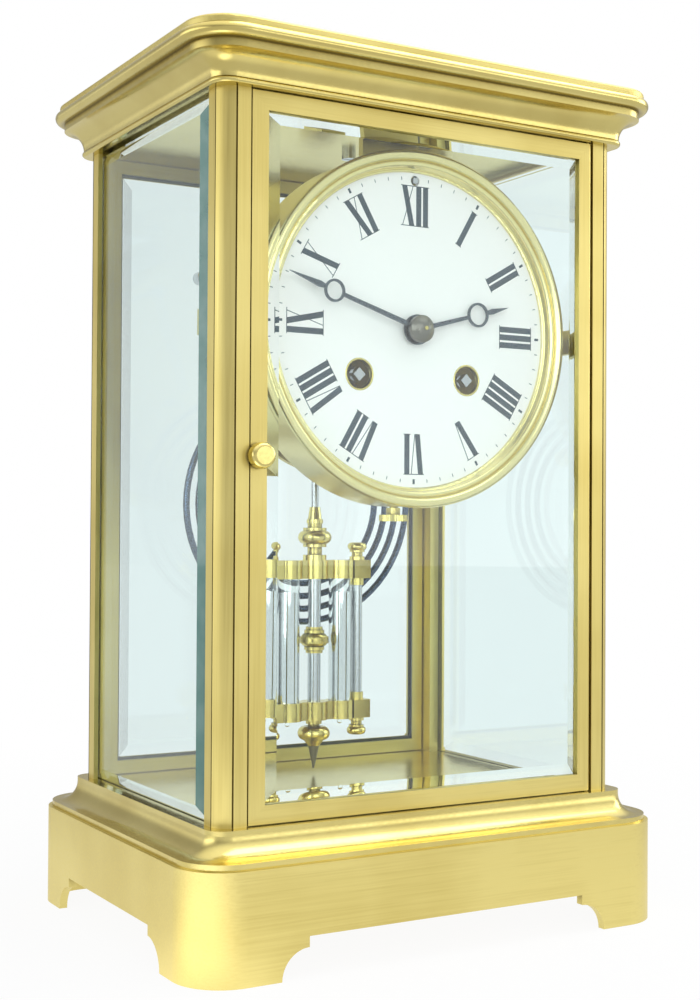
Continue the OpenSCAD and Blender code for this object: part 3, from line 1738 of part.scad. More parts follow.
module pendulum_collars() {
  rating_z = lower_bar_z + bar_h + (vial_h - rating_h) / 2;
  rim_h = rating_h * 0.12;
  color(gilt)
    translate([0, pendulum_y, 0]) {
      translate([0, 0, upper_bar_z + bar_h])
        rotate_extrude()
          collar_profile();
      translate([0, 0, lower_bar_z])
        mirror([0, 0, 1])
          rotate_extrude()
            finial_profile();
      translate([0, 0, rating_z])
        rotate_extrude()
          difference() {
            union() {
              square([rating_r, rating_h]);
              for (z = [rim_h, rating_h - 2 * rim_h])
                translate([0, z])
                  square([rating_r + rim_h / 2, rim_h]);
              translate([rating_bead_r, rating_h / 2])
                circle(rating_bead_r);
            }
            translate([0, -sliver])
              square([centre_rod_r, rating_h + 2 * sliver]);
          }
    }
}

base_plinth();
base_moulding();
front_left_pillar();
front_right_pillar();
rear_left_pillar();
rear_right_pillar();
cornice();
top_plate();
case_screws();
left_glass();
right_glass();
front_door_frame();
front_door_glass();
front_door_knob();
back_door_frame();
back_door_glass();
back_door_knob();
movement_straps();
bezel();
dial();
thumb_screw();
front_plate();
back_plate();
plate_pillars();
ratchet_clicks();
suspension_cock();
suspension_spring();
regulator_arbor();
gong();
gong_stand();
going_barrel();
going_mainspring();
going_winding_arbor();
going_second_wheel();
centre_wheel();
third_wheel();
escape_wheel();
pallet_anchor();
strike_barrel();
strike_mainspring();
strike_winding_arbor();
strike_second_wheel();
pin_wheel();
locking_wheel();
warning_wheel();
fly();
hammer();
cannon_pinion();
minute_wheel();
hour_wheel();
hour_hand();
minute_hand();
hand_nut();
pendulum_rod();
pendulum_bars();
mercury_vials();
mercury();
pendulum_columns();
pendulum_collars();
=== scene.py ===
"""Looks of the four-glass clock: finishes, dial markings, hands, gong, light and camera."""

import math

import bmesh
import bpy
from bpy.props import FloatProperty, FloatVectorProperty, IntProperty, PointerProperty
from mathutils import Matrix, Vector


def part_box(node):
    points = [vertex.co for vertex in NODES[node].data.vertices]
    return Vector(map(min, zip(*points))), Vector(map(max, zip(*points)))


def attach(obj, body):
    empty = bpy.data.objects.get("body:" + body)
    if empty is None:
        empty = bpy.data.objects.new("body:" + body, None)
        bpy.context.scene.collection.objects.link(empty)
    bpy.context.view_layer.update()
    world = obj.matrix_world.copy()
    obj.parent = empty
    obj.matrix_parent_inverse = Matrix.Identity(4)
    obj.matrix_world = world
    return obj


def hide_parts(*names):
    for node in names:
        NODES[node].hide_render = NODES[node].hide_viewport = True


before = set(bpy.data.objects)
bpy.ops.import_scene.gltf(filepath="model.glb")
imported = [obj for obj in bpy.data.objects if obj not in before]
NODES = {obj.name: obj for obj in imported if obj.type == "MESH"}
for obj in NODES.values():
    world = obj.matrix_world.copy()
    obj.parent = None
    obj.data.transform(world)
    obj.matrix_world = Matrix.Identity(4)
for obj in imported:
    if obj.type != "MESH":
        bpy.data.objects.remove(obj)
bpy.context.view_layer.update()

bl_info = {
    "name": "Four-Glass Clock Looks",
    "version": (1, 0, 0),
    "blender": (4, 5, 0),
    "location": "3D View > Sidebar > Clock",
    "description": "Dresses the packed clock with its finishes, dial, hands, gong, light and camera",
    "category": "Object",
}

MM = 0.001


def linear(code):
    """Linear RGBA of an sRGB hex value."""
    channels = [int(code[i : i + 2], 16) / 255 for i in (1, 3, 5)]
    return [c / 12.92 if c <= 0.04045 else ((c + 0.055) / 1.055) ** 2.4 for c in channels] + [1.0]


def add(tree, kind, sockets=None, **settings):
    """Adds a node; a socket's value is a plain value or another node's output to link."""
    made = tree.nodes.new(kind)
    for name, value in settings.items():
        setattr(made, name, value)
    for name, value in (sockets or {}).items():
        if isinstance(value, bpy.types.NodeSocket):
            tree.links.new(value, made.inputs[name])
        else:
            made.inputs[name].default_value = value
    return made


def length(name, description, millimetres):
    return FloatProperty(name=name, description=description, default=millimetres * MM, unit="LENGTH")


def colour(name, description, code):
    return FloatVectorProperty(
        name=name, description=description, subtype="COLOR", size=4, min=0, max=1, default=linear(code)
    )


class ClockSizes(bpy.types.PropertyGroup):
    """Sizes of what is drawn on and added to the clock."""

    numeral_in: length("Numeral inner radius", "Where the numerals begin, from the dial's centre", 31.7)
    numeral_out: length("Numeral outer radius", "Where the numerals end, from the dial's centre", 44.1)
    stroke: length("Stroke", "Width of a thick stroke of a numeral", 1.8)
    stroke_gap: length("Stroke gap", "Gap between two upright strokes", 0.66)
    hairline: length("Hairline", "Width of a thin stroke and of a serif", 0.24)
    x_wide: length("X width", "Width of the letter X", 4.5)
    v_wide: length("V width", "Width of the letter V", 4.3)
    serif: length("Serif", "How far a serif reaches past its strokes", 0.35)
    track: length("Minute track radius", "Middle of the minute marks", 46.2)
    paint: length("Paint thickness", "Height of the fired paint on the dial", 0.04)
    wire: length("Gong wire", "Radius of the gong's wire", 1.1)
    knurls: IntProperty(name="Knurls", description="Ridges round the rating nut", default=40, min=12, max=80)


class ClockColours(bpy.types.PropertyGroup):
    """Colours of the clock's finishes."""

    brass: colour("Lacquered brass", "Polished brass under clear lacquer", "#E4D487")
    brass_deep: colour("Toned brass", "Brass where the lacquer has toned", "#CDB969")
    # Brown of the shade painted into grooves
    groove_shade: colour("Painted groove shade", "Brown shade painted into narrow grooves", "#5C4A22")
    gilt: colour("Gilding", "Pale gold of the bezel", "#EDE0A2")
    steel: colour("Polished steel", "Bare polished steel", "#C2C4C6")
    dull_steel: colour("Dull steel", "Turned steel left unpolished", "#77736B")
    hand: colour("Hand steel", "Darkened steel of the hands", "#5B626A")
    blue: colour("Blued steel", "Steel coloured by heat", "#4A5A70")
    mercury: colour("Mercury", "Liquid metal in the vials", "#DADCDE")
    enamel: colour("Enamel", "White vitreous enamel", "#FFF6F3")
    numeral: colour("Numeral paint", "Fired blue-black paint", "#2E3A44")


def sizes():
    return bpy.context.scene.clock_sizes


def colours():
    return bpy.context.scene.clock_colours


def start_material(name):
    """An empty material of that name, its tree and its output."""
    material = bpy.data.materials.new(name)
    material.use_nodes = True
    tree = material.node_tree
    tree.nodes.clear()
    return material, tree, add(tree, "ShaderNodeOutputMaterial")


def groove_shaded(tree, base):
    """A metal's colour turned brown in narrow grooves, the browner the more shut in a point is: painted
    shade.
    """
    # Painted shade: how much the part itself shuts a point in, within this distance, sets how brown it turns
    groove = 4 * MM
    reach = add(tree, "ShaderNodeAmbientOcclusion", {"Distance": groove}, samples=8, only_local=True)
    groove_shade = add(
        tree,
        "ShaderNodeMapRange",
        {"Value": reach.outputs["AO"], "From Min": 0.4, "From Max": 0.95, "To Min": 0.85, "To Max": 0.0},
    )
    mix = add(
        tree,
        "ShaderNodeMix",
        {"Factor": groove_shade.outputs["Result"], 6: base, 7: colours().groove_shade},
        data_type="RGBA",
    )
    return mix.outputs[2]


def polished_brass():
    """Cast brass, polished and lacquered: soft wide highlights, cloudy toning, faint wiping marks."""
    found = bpy.data.materials.get("lacquered polished brass")
    if found:
        return found
    material, tree, out = start_material("lacquered polished brass")
    place = add(tree, "ShaderNodeTexCoord").outputs["Object"]
    # Toning clouds about 40 mm across
    cloud = add(tree, "ShaderNodeTexNoise", {"Vector": place, "Scale": 1 / (40 * MM), "Detail": 4.0})
    tone = add(tree, "ShaderNodeValToRGB", {"Fac": cloud.outputs["Fac"]})
    tone.color_ramp.elements[0].position = 0.25
    tone.color_ramp.elements[0].color = colours().brass_deep
    tone.color_ramp.elements[1].position = 0.6
    tone.color_ramp.elements[1].color = colours().brass
    # Wiping marks about 1.2 mm across, drawn coarser than real polish so that they show
    wipe = add(tree, "ShaderNodeTexNoise", {"Vector": place, "Scale": 1 / (1.2 * MM), "Detail": 2.0})
    rough = add(
        tree,
        "ShaderNodeMapRange",
        {"Value": wipe.outputs["Fac"], "From Min": 0.3, "From Max": 0.7, "To Min": 0.17, "To Max": 0.27},
    )
    bump = add(
        tree, "ShaderNodeBump", {"Height": wipe.outputs["Fac"], "Strength": 0.03, "Distance": 0.2 * MM}
    )
    shader = add(
        tree,
        "ShaderNodeBsdfPrincipled",
        {
            # Base colour with painted shade in its grooves
            "Base Color": groove_shaded(tree, tone.outputs["Color"]),
            "Metallic": 1.0,
            "Roughness": rough.outputs["Result"],
            "Normal": bump.outputs["Normal"],
        },
    )
    tree.links.new(shader.outputs["BSDF"], out.inputs["Surface"])
    return material


def brushed_brass(grain):
    """Brass sheet and bar, finely brushed along one axis under lacquer: streaks run with the grain."""
    name = "brushed brass, grain along " + grain
    found = bpy.data.materials.get(name)
    if found:
        return found
    material, tree, out = start_material(name)
    place = add(tree, "ShaderNodeTexCoord").outputs["Object"]
    # Brush lines about 0.5 mm apart and 30 mm long, coarser than the real ones so that they show
    stretch = {"X": (0.016, 1, 1), "Y": (1, 0.016, 1), "Z": (1, 1, 0.016)}[grain]
    along = add(tree, "ShaderNodeMapping", {"Vector": place, "Scale": stretch})
    brush = add(
        tree,
        "ShaderNodeTexNoise",
        {"Vector": along.outputs["Vector"], "Scale": 1 / (0.5 * MM), "Detail": 2.0},
    )
    # Toning clouds about 50 mm across, broken up a little by the brush lines
    cloud = add(tree, "ShaderNodeTexNoise", {"Vector": place, "Scale": 1 / (50 * MM), "Detail": 3.0})
    worn = add(
        tree,
        "ShaderNodeMix",
        {"Factor": 0.3, "A": cloud.outputs["Fac"], "B": brush.outputs["Fac"]},
    )
    tone = add(tree, "ShaderNodeValToRGB", {"Fac": worn.outputs["Result"]})
    tone.color_ramp.elements[0].position = 0.28
    tone.color_ramp.elements[0].color = colours().brass_deep
    tone.color_ramp.elements[1].position = 0.58
    tone.color_ramp.elements[1].color = colours().brass
    rough = add(
        tree,
        "ShaderNodeMapRange",
        {"Value": brush.outputs["Fac"], "From Min": 0.3, "From Max": 0.7, "To Min": 0.34, "To Max": 0.48},
    )
    bump = add(
        tree, "ShaderNodeBump", {"Height": brush.outputs["Fac"], "Strength": 0.06, "Distance": 0.2 * MM}
    )
    shader = add(
        tree,
        "ShaderNodeBsdfPrincipled",
        {
            # Base colour with painted shade in its grooves
            "Base Color": groove_shaded(tree, tone.outputs["Color"]),
            "Metallic": 1.0,
            "Roughness": rough.outputs["Result"],
            "Normal": bump.outputs["Normal"],
        },
    )
    tree.links.new(shader.outputs["BSDF"], out.inputs["Surface"])
    return material


def plain_metal(name, base, low, high):
    """Turned and polished metal: a clean reflection with slight turning marks in its gloss."""
    found = bpy.data.materials.get(name)
    if found:
        return found
    material, tree, out = start_material(name)
    place = add(tree, "ShaderNodeTexCoord").outputs["Object"]
    # Turning marks about 0.8 mm across, drawn coarser than real ones so that they show
    marks = add(tree, "ShaderNodeTexNoise", {"Vector": place, "Scale": 1 / (0.8 * MM), "Detail": 2.0})
    rough = add(
        tree,
        "ShaderNodeMapRange",
        {"Value": marks.outputs["Fac"], "From Min": 0.3, "From Max": 0.7, "To Min": low, "To Max": high},
    )
    shader = add(
        tree,
        "ShaderNodeBsdfPrincipled",
        {"Base Color": base, "Metallic": 1.0, "Roughness": rough.outputs["Result"]},
    )
    tree.links.new(shader.outputs["BSDF"], out.inputs["Surface"])
    return material


def gilt_brass():
    """Spun brass, gilt and wiped: pale gold with soft highlights and clean grooves."""
    return plain_metal("gilt spun brass", colours().gilt, 0.2, 0.26)


def polished_steel():
    """Hardened steel, polished: a bright grey reflection, a little blurred."""
    return plain_metal("polished steel", colours().steel, 0.14, 0.26)


def blued_steel():
    """Steel coloured by heat: dark blue with a satin shine."""
    return plain_metal("heat-blued steel", colours().blue, 0.2, 0.32)


def hand_steel():
    """Filed and darkened steel: slate grey that still catches the light."""
    return plain_metal("darkened hand steel", colours().hand, 0.22, 0.36)


def dark_steel():
    """Turned steel left dull: warm grey with soft highlights."""
    return plain_metal("turned dark steel", colours().dull_steel, 0.26, 0.42)


def quicksilver():
    """Liquid mercury: a pale, almost perfect mirror."""
    return plain_metal("mercury", colours().mercury, 0.02, 0.05)


def clear_glass(name, tint, density):
    """Polished glass: clear face on, tinted along its length, and it casts no dark shadow."""
    found = bpy.data.materials.get(name)
    if found:
        return found
    material, tree, out = start_material(name)
    ray = add(tree, "ShaderNodeLightPath")
    glass = add(
        tree,
        "ShaderNodeBsdfPrincipled",
        {"Base Color": linear("#FDFFFE"), "Roughness": 0.0, "IOR": 1.5, "Transmission Weight": 1.0},
    )
    through = add(tree, "ShaderNodeBsdfTransparent", {"Color": linear("#F2FAF8")})
    mix = add(
        tree,
        "ShaderNodeMixShader",
        {0: ray.outputs["Is Shadow Ray"], 1: glass.outputs["BSDF"], 2: through.outputs["BSDF"]},
    )
    body = add(tree, "ShaderNodeVolumeAbsorption", {"Color": tint, "Density": density})
    tree.links.new(mix.outputs["Shader"], out.inputs["Surface"])
    tree.links.new(body.outputs["Volume"], out.inputs["Volume"])
    return material


def plate_glass():
    """Thick plate, ground and polished: clear face on and sea green along its edges."""
    return clear_glass("bevelled plate glass", linear("#50CDD3"), 24.0)


def edge_glass():
    """Ground and polished bevel of plate glass: a sea-green body, the glass's own green with painted light
    caught inside it.
    """
    found = bpy.data.materials.get("glass bevel")
    if found:
        return found
    material, tree, out = start_material("glass bevel")
    place = add(tree, "ShaderNodeTexCoord").outputs["Object"]
    # Patches of painted light caught inside, about 8 mm across
    caught = add(tree, "ShaderNodeTexNoise", {"Vector": place, "Scale": 1 / (8 * MM), "Detail": 2.0})
    tone = add(tree, "ShaderNodeValToRGB", {"Fac": caught.outputs["Fac"]})
    tone.color_ramp.elements[0].color = linear("#4F9C92")
    tone.color_ramp.elements[1].color = linear("#B4DED6")
    shader = add(
        tree,
        "ShaderNodeBsdfPrincipled",
        {"Base Color": tone.outputs["Color"], "Roughness": 0.04, "IOR": 1.5, "Transmission Weight": 0.6},
    )
    tree.links.new(shader.outputs["BSDF"], out.inputs["Surface"])
    return material


def tube_glass():
    """Drawn tube of the vials: nearly colourless."""
    return clear_glass("glass tube", linear("#D8F0EC"), 4.0)


def white_enamel():
    """Fired vitreous enamel: glossy white with a very faint waviness in its skin."""
    found = bpy.data.materials.get("vitreous enamel")
    if found:
        return found
    material, tree, out = start_material("vitreous enamel")
    place = add(tree, "ShaderNodeTexCoord").outputs["Object"]
    # Waves about 6 mm long
    wave = add(tree, "ShaderNodeTexNoise", {"Vector": place, "Scale": 1 / (6 * MM), "Detail": 1.0})
    bump = add(
        tree, "ShaderNodeBump", {"Height": wave.outputs["Fac"], "Strength": 0.05, "Distance": 0.3 * MM}
    )
    shader = add(
        tree,
        "ShaderNodeBsdfPrincipled",
        {"Base Color": colours().enamel, "Roughness": 0.12, "IOR": 1.5, "Normal": bump.outputs["Normal"]},
    )
    tree.links.new(shader.outputs["BSDF"], out.inputs["Surface"])
    return material


def fired_paint():
    """Blue-black paint fired on the enamel: a little glossy, uneven in strength."""
    found = bpy.data.materials.get("fired numeral paint")
    if found:
        return found
    material, tree, out = start_material("fired numeral paint")
    place = add(tree, "ShaderNodeTexCoord").outputs["Object"]
    # Brush patches about 3 mm across
    patch = add(tree, "ShaderNodeTexNoise", {"Vector": place, "Scale": 1 / (3 * MM), "Detail": 2.0})
    tone = add(tree, "ShaderNodeValToRGB", {"Fac": patch.outputs["Fac"]})
    thinner = 1.6
    tone.color_ramp.elements[0].color = colours().numeral
    tone.color_ramp.elements[1].color = [min(1.0, c * thinner) for c in colours().numeral[:3]] + [1.0]
    shader = add(
        tree,
        "ShaderNodeBsdfPrincipled",
        {"Base Color": tone.outputs["Color"], "Roughness": 0.25, "IOR": 1.5},
    )
    tree.links.new(shader.outputs["BSDF"], out.inputs["Surface"])
    return material


def dress(names, *materials, rule=None):
    """Gives CAD nodes their materials; rule says which one a face takes."""
    for name in names:
        mesh = NODES[name].data
        mesh.materials.clear()
        for material in materials:
            mesh.materials.append(material)
        for face in mesh.polygons:
            face.material_index = rule(face) if rule else 0


def new_piece(name, mesh, body, material):
    """A finished piece at the origin that rides on a body."""
    piece = bpy.data.objects.new(name, mesh)
    bpy.context.scene.collection.objects.link(piece)
    mesh.materials.clear()
    mesh.materials.append(material)
    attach(piece, body)
    return piece


def node_middle(name):
    low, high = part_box(name)
    return (low + high) / 2


def dial_place():
    """Matrix from a drawing on the dial (x right, y up, z forwards) to the clock, on the dial's face."""
    low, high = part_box("dial")
    middle = (low + high) / 2
    return Matrix.Translation((middle.x, low.y, middle.z)) @ Matrix.Rotation(math.pi / 2, 4, "X")


def ring_tree(name):
    """Geometry Nodes that repeat a small block round a circle, each turned to face outwards."""
    tree = bpy.data.node_groups.new(name, "GeometryNodeTree")
    for label, kind in (
        ("Count", "NodeSocketInt"),
        ("Radius", "NodeSocketFloat"),
        ("Lean", "NodeSocketFloat"),
        ("Block", "NodeSocketVector"),
        ("Material", "NodeSocketMaterial"),
    ):
        tree.interface.new_socket(label, in_out="INPUT", socket_type=kind)
    tree.interface.new_socket("Geometry", in_out="OUTPUT", socket_type="NodeSocketGeometry")
    given = add(tree, "NodeGroupInput")
    circle = add(
        tree,
        "GeometryNodeMeshCircle",
        {"Vertices": given.outputs["Count"], "Radius": given.outputs["Radius"]},
    )
    step = add(tree, "ShaderNodeMath", {0: math.tau, 1: given.outputs["Count"]}, operation="DIVIDE")
    index = add(tree, "GeometryNodeInputIndex")
    angle = add(
        tree, "ShaderNodeMath", {0: index.outputs["Index"], 1: step.outputs["Value"]}, operation="MULTIPLY"
    )
    turn = add(tree, "ShaderNodeCombineXYZ", {"X": given.outputs["Lean"], "Z": angle.outputs["Value"]})
    block = add(tree, "GeometryNodeMeshCube", {"Size": given.outputs["Block"]})
    spread = add(
        tree,
        "GeometryNodeInstanceOnPoints",
        {
            "Points": circle.outputs["Mesh"],
            "Instance": block.outputs["Mesh"],
            "Rotation": turn.outputs["Vector"],
        },
    )
    real = add(tree, "GeometryNodeRealizeInstances", {"Geometry": spread.outputs["Instances"]})
    done = add(
        tree,
        "GeometryNodeSetMaterial",
        {"Geometry": real.outputs["Geometry"], "Material": given.outputs["Material"]},
    )
    add(tree, "NodeGroupOutput", {"Geometry": done.outputs["Geometry"]})
    return tree


def ring_mesh(name, count, radius, block, material, lean=0.0):
    """Plain mesh of blocks round a circle, in the XY plane; lean tilts each about its own radius."""
    tree = bpy.data.node_groups.get("blocks round a circle") or ring_tree("blocks round a circle")
    carrier = bpy.data.objects.new(name + "_carrier", bpy.data.meshes.new(name + "_carrier"))
    bpy.context.scene.collection.objects.link(carrier)
    modifier = carrier.modifiers.new("blocks", "NODES")
    modifier.node_group = tree
    values = {"Count": count, "Radius": radius, "Lean": lean, "Block": block, "Material": material}
    for item in tree.interface.items_tree:
        if item.in_out == "INPUT":
            modifier[item.identifier] = values[item.name]
    evaluated = carrier.evaluated_get(bpy.context.evaluated_depsgraph_get())
    mesh = bpy.data.meshes.new_from_object(evaluated)
    mesh.name = name
    carrier.modifiers.clear()
    bpy.data.objects.remove(carrier)
    return mesh


def strokes_mesh(name, strokes, thick):
    """Flat prisms from closed outlines in the XY plane, standing up along z."""
    shape = bmesh.new()
    for outline in strokes:
        low = [shape.verts.new((x, y, 0)) for x, y in outline]
        high = [shape.verts.new((x, y, thick)) for x, y in outline]
        shape.faces.new(low[::-1])
        shape.faces.new(high)
        for i in range(len(outline)):
            j = (i + 1) % len(outline)
            shape.faces.new((low[i], low[j], high[j], high[i]))
    bmesh.ops.recalc_face_normals(shape, faces=shape.faces)
    mesh = bpy.data.meshes.new(name)
    shape.to_mesh(mesh)
    shape.free()
    return mesh


def slanted(x_low, x_high, low, high, width):
    """A straight stroke with level ends."""
    half = width / 2
    return [(x_low - half, low), (x_low + half, low), (x_high + half, high), (x_high - half, high)]


def numeral_strokes(text, s):
    """Strokes of a roman numeral, centred on x, between the numeral radii."""
    low, high = s.numeral_in, s.numeral_out
    thick, thin, gap = s.stroke, s.hairline, s.stroke_gap
    x_wide, v_wide, serif = s.x_wide, s.v_wide, s.serif
    strokes, x = [], 0.0
    for letter in text:
        if letter == "I":
            strokes.append(slanted(x + thick / 2, x + thick / 2, low, high, thick))
            x += thick + gap
        elif letter == "V":
            strokes.append(slanted(x + v_wide / 2, x + thick / 2, low, high, thick))
            strokes.append(slanted(x + v_wide / 2 + thick / 2, x + v_wide, low, high, thin))
            x += v_wide + gap
        else:
            strokes.append(slanted(x + x_wide - thick / 2, x + thick / 2, low, high, thick))
            strokes.append(slanted(x + thin, x + x_wide - thin * 2, low, high, thin))
            x += x_wide + gap
    wide = x - gap
    # A V has no serif at its foot
    feet = text.replace("V", "")
    for level in (low, high - thin):
        start, end = -serif, wide + serif
        if level == low and text.startswith("V"):
            start = v_wide + gap - serif
        if feet or level > low:
            strokes.append([(start, level), (end, level), (end, level + thin), (start, level + thin)])
    return [[(px - wide / 2, py) for px, py in outline] for outline in strokes]


def lathe_mesh(name, profile, around=64):
    """Turned shape about z from points of radius and height; closed where the radius is nought."""
    shape = bmesh.new()
    angles = [math.tau * k / around for k in range(around)]
    round_points = [(math.cos(a), math.sin(a)) for a in angles]
    rings = []
    for radius, height in profile:
        if radius == 0:
            rings.append([shape.verts.new((0, 0, height))])
        else:
            rings.append([shape.verts.new((radius * x, radius * y, height)) for x, y in round_points])
    for a, b in zip(rings, rings[1:]):
        for k in range(around):
            n = (k + 1) % around
            corners = [a[k % len(a)], a[n % len(a)], b[n % len(b)], b[k % len(b)]]
            corners = [v for i, v in enumerate(corners) if v not in corners[:i]]
            if len(corners) > 2:
                shape.faces.new(corners)
    bmesh.ops.recalc_face_normals(shape, faces=shape.faces)
    for face in shape.faces:
        face.smooth = True
    mesh = bpy.data.meshes.new(name)
    shape.to_mesh(mesh)
    shape.free()
    return mesh


class CLOCK_OT_dress_case(bpy.types.Operator):
    """Gives the case, the doors, the bezel and the straps their brass, and the screws their steel."""

    bl_idname = "clock.dress_case"
    bl_label = "Dress Case"

    def execute(self, context):
        dress(("base_plinth", "top_plate"), brushed_brass("X"))
        dress(("base_moulding", "cornice"), polished_brass())
        dress(("bezel",), gilt_brass())
        dress(
            ("front_left_pillar", "front_right_pillar", "rear_left_pillar", "rear_right_pillar"),
            brushed_brass("Z"),
        )
        for name in ("front_door_frame", "back_door_frame"):
            low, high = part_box(name)
            bar = 8 * MM

            # The rails across the top and bottom are brushed from side to side
            def rail(face):
                inside = low.x + bar < face.center.x < high.x - bar
                return int(inside and not low.z + bar < face.center.z < high.z - bar)

            dress((name,), brushed_brass("Z"), brushed_brass("X"), rule=rail)
        dress(("movement_straps",), brushed_brass("Z"))
        dress(("front_door_knob", "back_door_knob", "thumb_screw"), polished_brass())
        dress(("case_screws",), polished_steel())
        return {"FINISHED"}


class CLOCK_OT_dress_glass(bpy.types.Operator):
    """Gives the four panes their glass."""

    bl_idname = "clock.dress_glass"
    bl_label = "Dress Glass"

    def execute(self, context):
        dress(("front_door_glass", "back_door_glass"), plate_glass())

        # The bevel at the front of a side pane is seen along the glass, so it takes its sea-green body with
        # painted light caught inside
        def bevel(face):
            leans = -0.1
            return int(face.normal.y < leans)

        dress(("left_glass", "right_glass"), plate_glass(), edge_glass(), rule=bevel)
        return {"FINISHED"}


class CLOCK_OT_dress_movement(bpy.types.Operator):
    """Gives plates, wheels, arbors and springs their metals."""

    bl_idname = "clock.dress_movement"
    bl_label = "Dress Movement"

    def execute(self, context):
        dress(("front_plate", "back_plate", "suspension_cock", "gong_stand"), brushed_brass("Z"))
        dress(("plate_pillars", "going_barrel", "strike_barrel"), polished_brass())
        dress(
            ("ratchet_clicks", "suspension_spring", "regulator_arbor", "pallet_anchor", "cannon_pinion"),
            polished_steel(),
        )
        dress(("going_winding_arbor", "strike_winding_arbor"), polished_steel())
        dress(("going_mainspring", "strike_mainspring"), blued_steel())
        arbor = 2.4 * MM
        for name in (
            "going_second_wheel",
            "centre_wheel",
            "third_wheel",
            "escape_wheel",
            "strike_second_wheel",
            "pin_wheel",
            "locking_wheel",
            "warning_wheel",
            "minute_wheel",
            "hour_wheel",
            "fly",
        ):
            middle = node_middle(name)
            dress(
                (name,),
                polished_brass(),
                polished_steel(),
                rule=lambda f, m=middle: int(math.hypot(f.center.x - m.x, f.center.z - m.z) < arbor),
            )
        head_tall = 6.6 * MM
        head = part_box("hammer")[0].z + head_tall
        dress(("hammer",), polished_steel(), polished_brass(), rule=lambda f: int(f.center.z < head))
        return {"FINISHED"}


class CLOCK_OT_dress_pendulum(bpy.types.Operator):
    """Gives the pendulum its brass, steel, glass and mercury."""

    bl_idname = "clock.dress_pendulum"
    bl_label = "Dress Pendulum"

    def execute(self, context):
        collars_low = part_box("pendulum_collars")[0]
        dress(
            ("pendulum_rod",),
            polished_steel(),
            dark_steel(),
            rule=lambda face: int(face.center.z < collars_low.z),
        )
        dress(("pendulum_bars", "pendulum_collars"), polished_brass())
        dress(("mercury_vials",), tube_glass())
        dress(("mercury",), quicksilver())
        low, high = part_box("pendulum_columns")
        middle = (low + high) / 2
        bars_low, bars_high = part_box("pendulum_bars")
        bare, finial = 1.85 * MM, 3.3 * MM
        column_x = high.x - finial

        def steel_face(face):
            p = face.center
            off = math.hypot(abs(p.x) - column_x, p.y - middle.y)
            return int(off < bare and bars_low.z < p.z < bars_high.z)

        dress(("pendulum_columns",), polished_brass(), polished_steel(), rule=steel_face)
        self.knurls((bars_low + bars_high) / 2)
        self.vial_tips(bars_low.z)
        return {"FINISHED"}

    def knurls(self, middle):
        """Two crossing rows of slanted ridges round the rating nut."""
        radius, ridge, slant = 4.7 * MM, (0.36 * MM, 0.3 * MM, 2.4 * MM), 0.6
        for name, lean in (("rating_knurls_left", slant), ("rating_knurls_right", -slant)):
            mesh = ring_mesh(name, sizes().knurls, radius, ridge, polished_brass(), lean)
            mesh.transform(Matrix.Translation(middle))
            new_piece(name, mesh, "pendulum", polished_brass())

    def vial_tips(self, top):
        """Sealed glass tips of the vials, under the lower bar."""
        low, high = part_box("mercury_vials")
        away = high.x - (high.y - low.y) / 2
        wide, neck, long, sunk = 0.9 * MM, 0.63 * MM, 2.0 * MM, 0.3 * MM
        profile = [(0, sunk), (neck, sunk), (neck, -long * 0.2), (wide, -long * 0.6)]
        profile += [(neck, -long * 0.88), (0, -long)]
        for name, side in (("left_vial_tip", -1), ("right_vial_tip", 1)):
            mesh = lathe_mesh(name, profile, 24)
            mesh.transform(Matrix.Translation((side * away, (low.y + high.y) / 2, top)))
            new_piece(name, mesh, "pendulum", tube_glass())


class CLOCK_OT_paint_dial(bpy.types.Operator):
    """Gives the dial its enamel, numerals, minute marks and the rims of its winding holes."""

    bl_idname = "clock.paint_dial"
    bl_label = "Paint Dial"

    def execute(self, context):
        s = sizes()
        dress(("dial",), white_enamel())
        place = dial_place()
        strokes = []
        for hour, text in enumerate(
            ("XII", "I", "II", "III", "IIII", "V", "VI", "VII", "VIII", "IX", "X", "XI")
        ):
            turn = Matrix.Rotation(-math.tau * hour / 12, 2)
            for outline in numeral_strokes(text, s):
                strokes.append([tuple(turn @ Vector(point)) for point in outline])
        numerals = strokes_mesh("dial_numerals", strokes, s.paint)
        numerals.transform(place)
        new_piece("dial_numerals", numerals, "case", fired_paint())
        for name, count, block in (
            ("minute_marks", 60, (1.0 * MM, 0.22 * MM, s.paint)),
            ("hour_marks", 12, (1.5 * MM, 0.75 * MM, s.paint * 1.5)),
        ):
            marks = ring_mesh(name, count, s.track, block, fired_paint())
            marks.transform(place @ Matrix.Translation((0, 0, s.paint / 2)))
            new_piece(name, marks, "case", fired_paint())
        outer, inner, deep, proud = 4.88 * MM, 4.35 * MM, 1.6 * MM, 0.12 * MM
        soft, low = 0.1 * MM, 0.048 * MM
        section = [(outer, -deep), (outer, low), (outer - soft, proud), (inner + soft, proud)]
        section += [(inner, low), (inner, -deep), (outer, -deep)]
        for name, arbor in (
            ("going_hole_rim", "going_winding_arbor"),
            ("strike_hole_rim", "strike_winding_arbor"),
        ):
            middle = node_middle(arbor)
            rim = lathe_mesh(name, section)
            shift = Matrix.Translation((middle.x, 0, middle.z - node_middle("dial").z))
            rim.transform(shift @ place)
            new_piece(name, rim, "case", polished_brass())
        return {"FINISHED"}


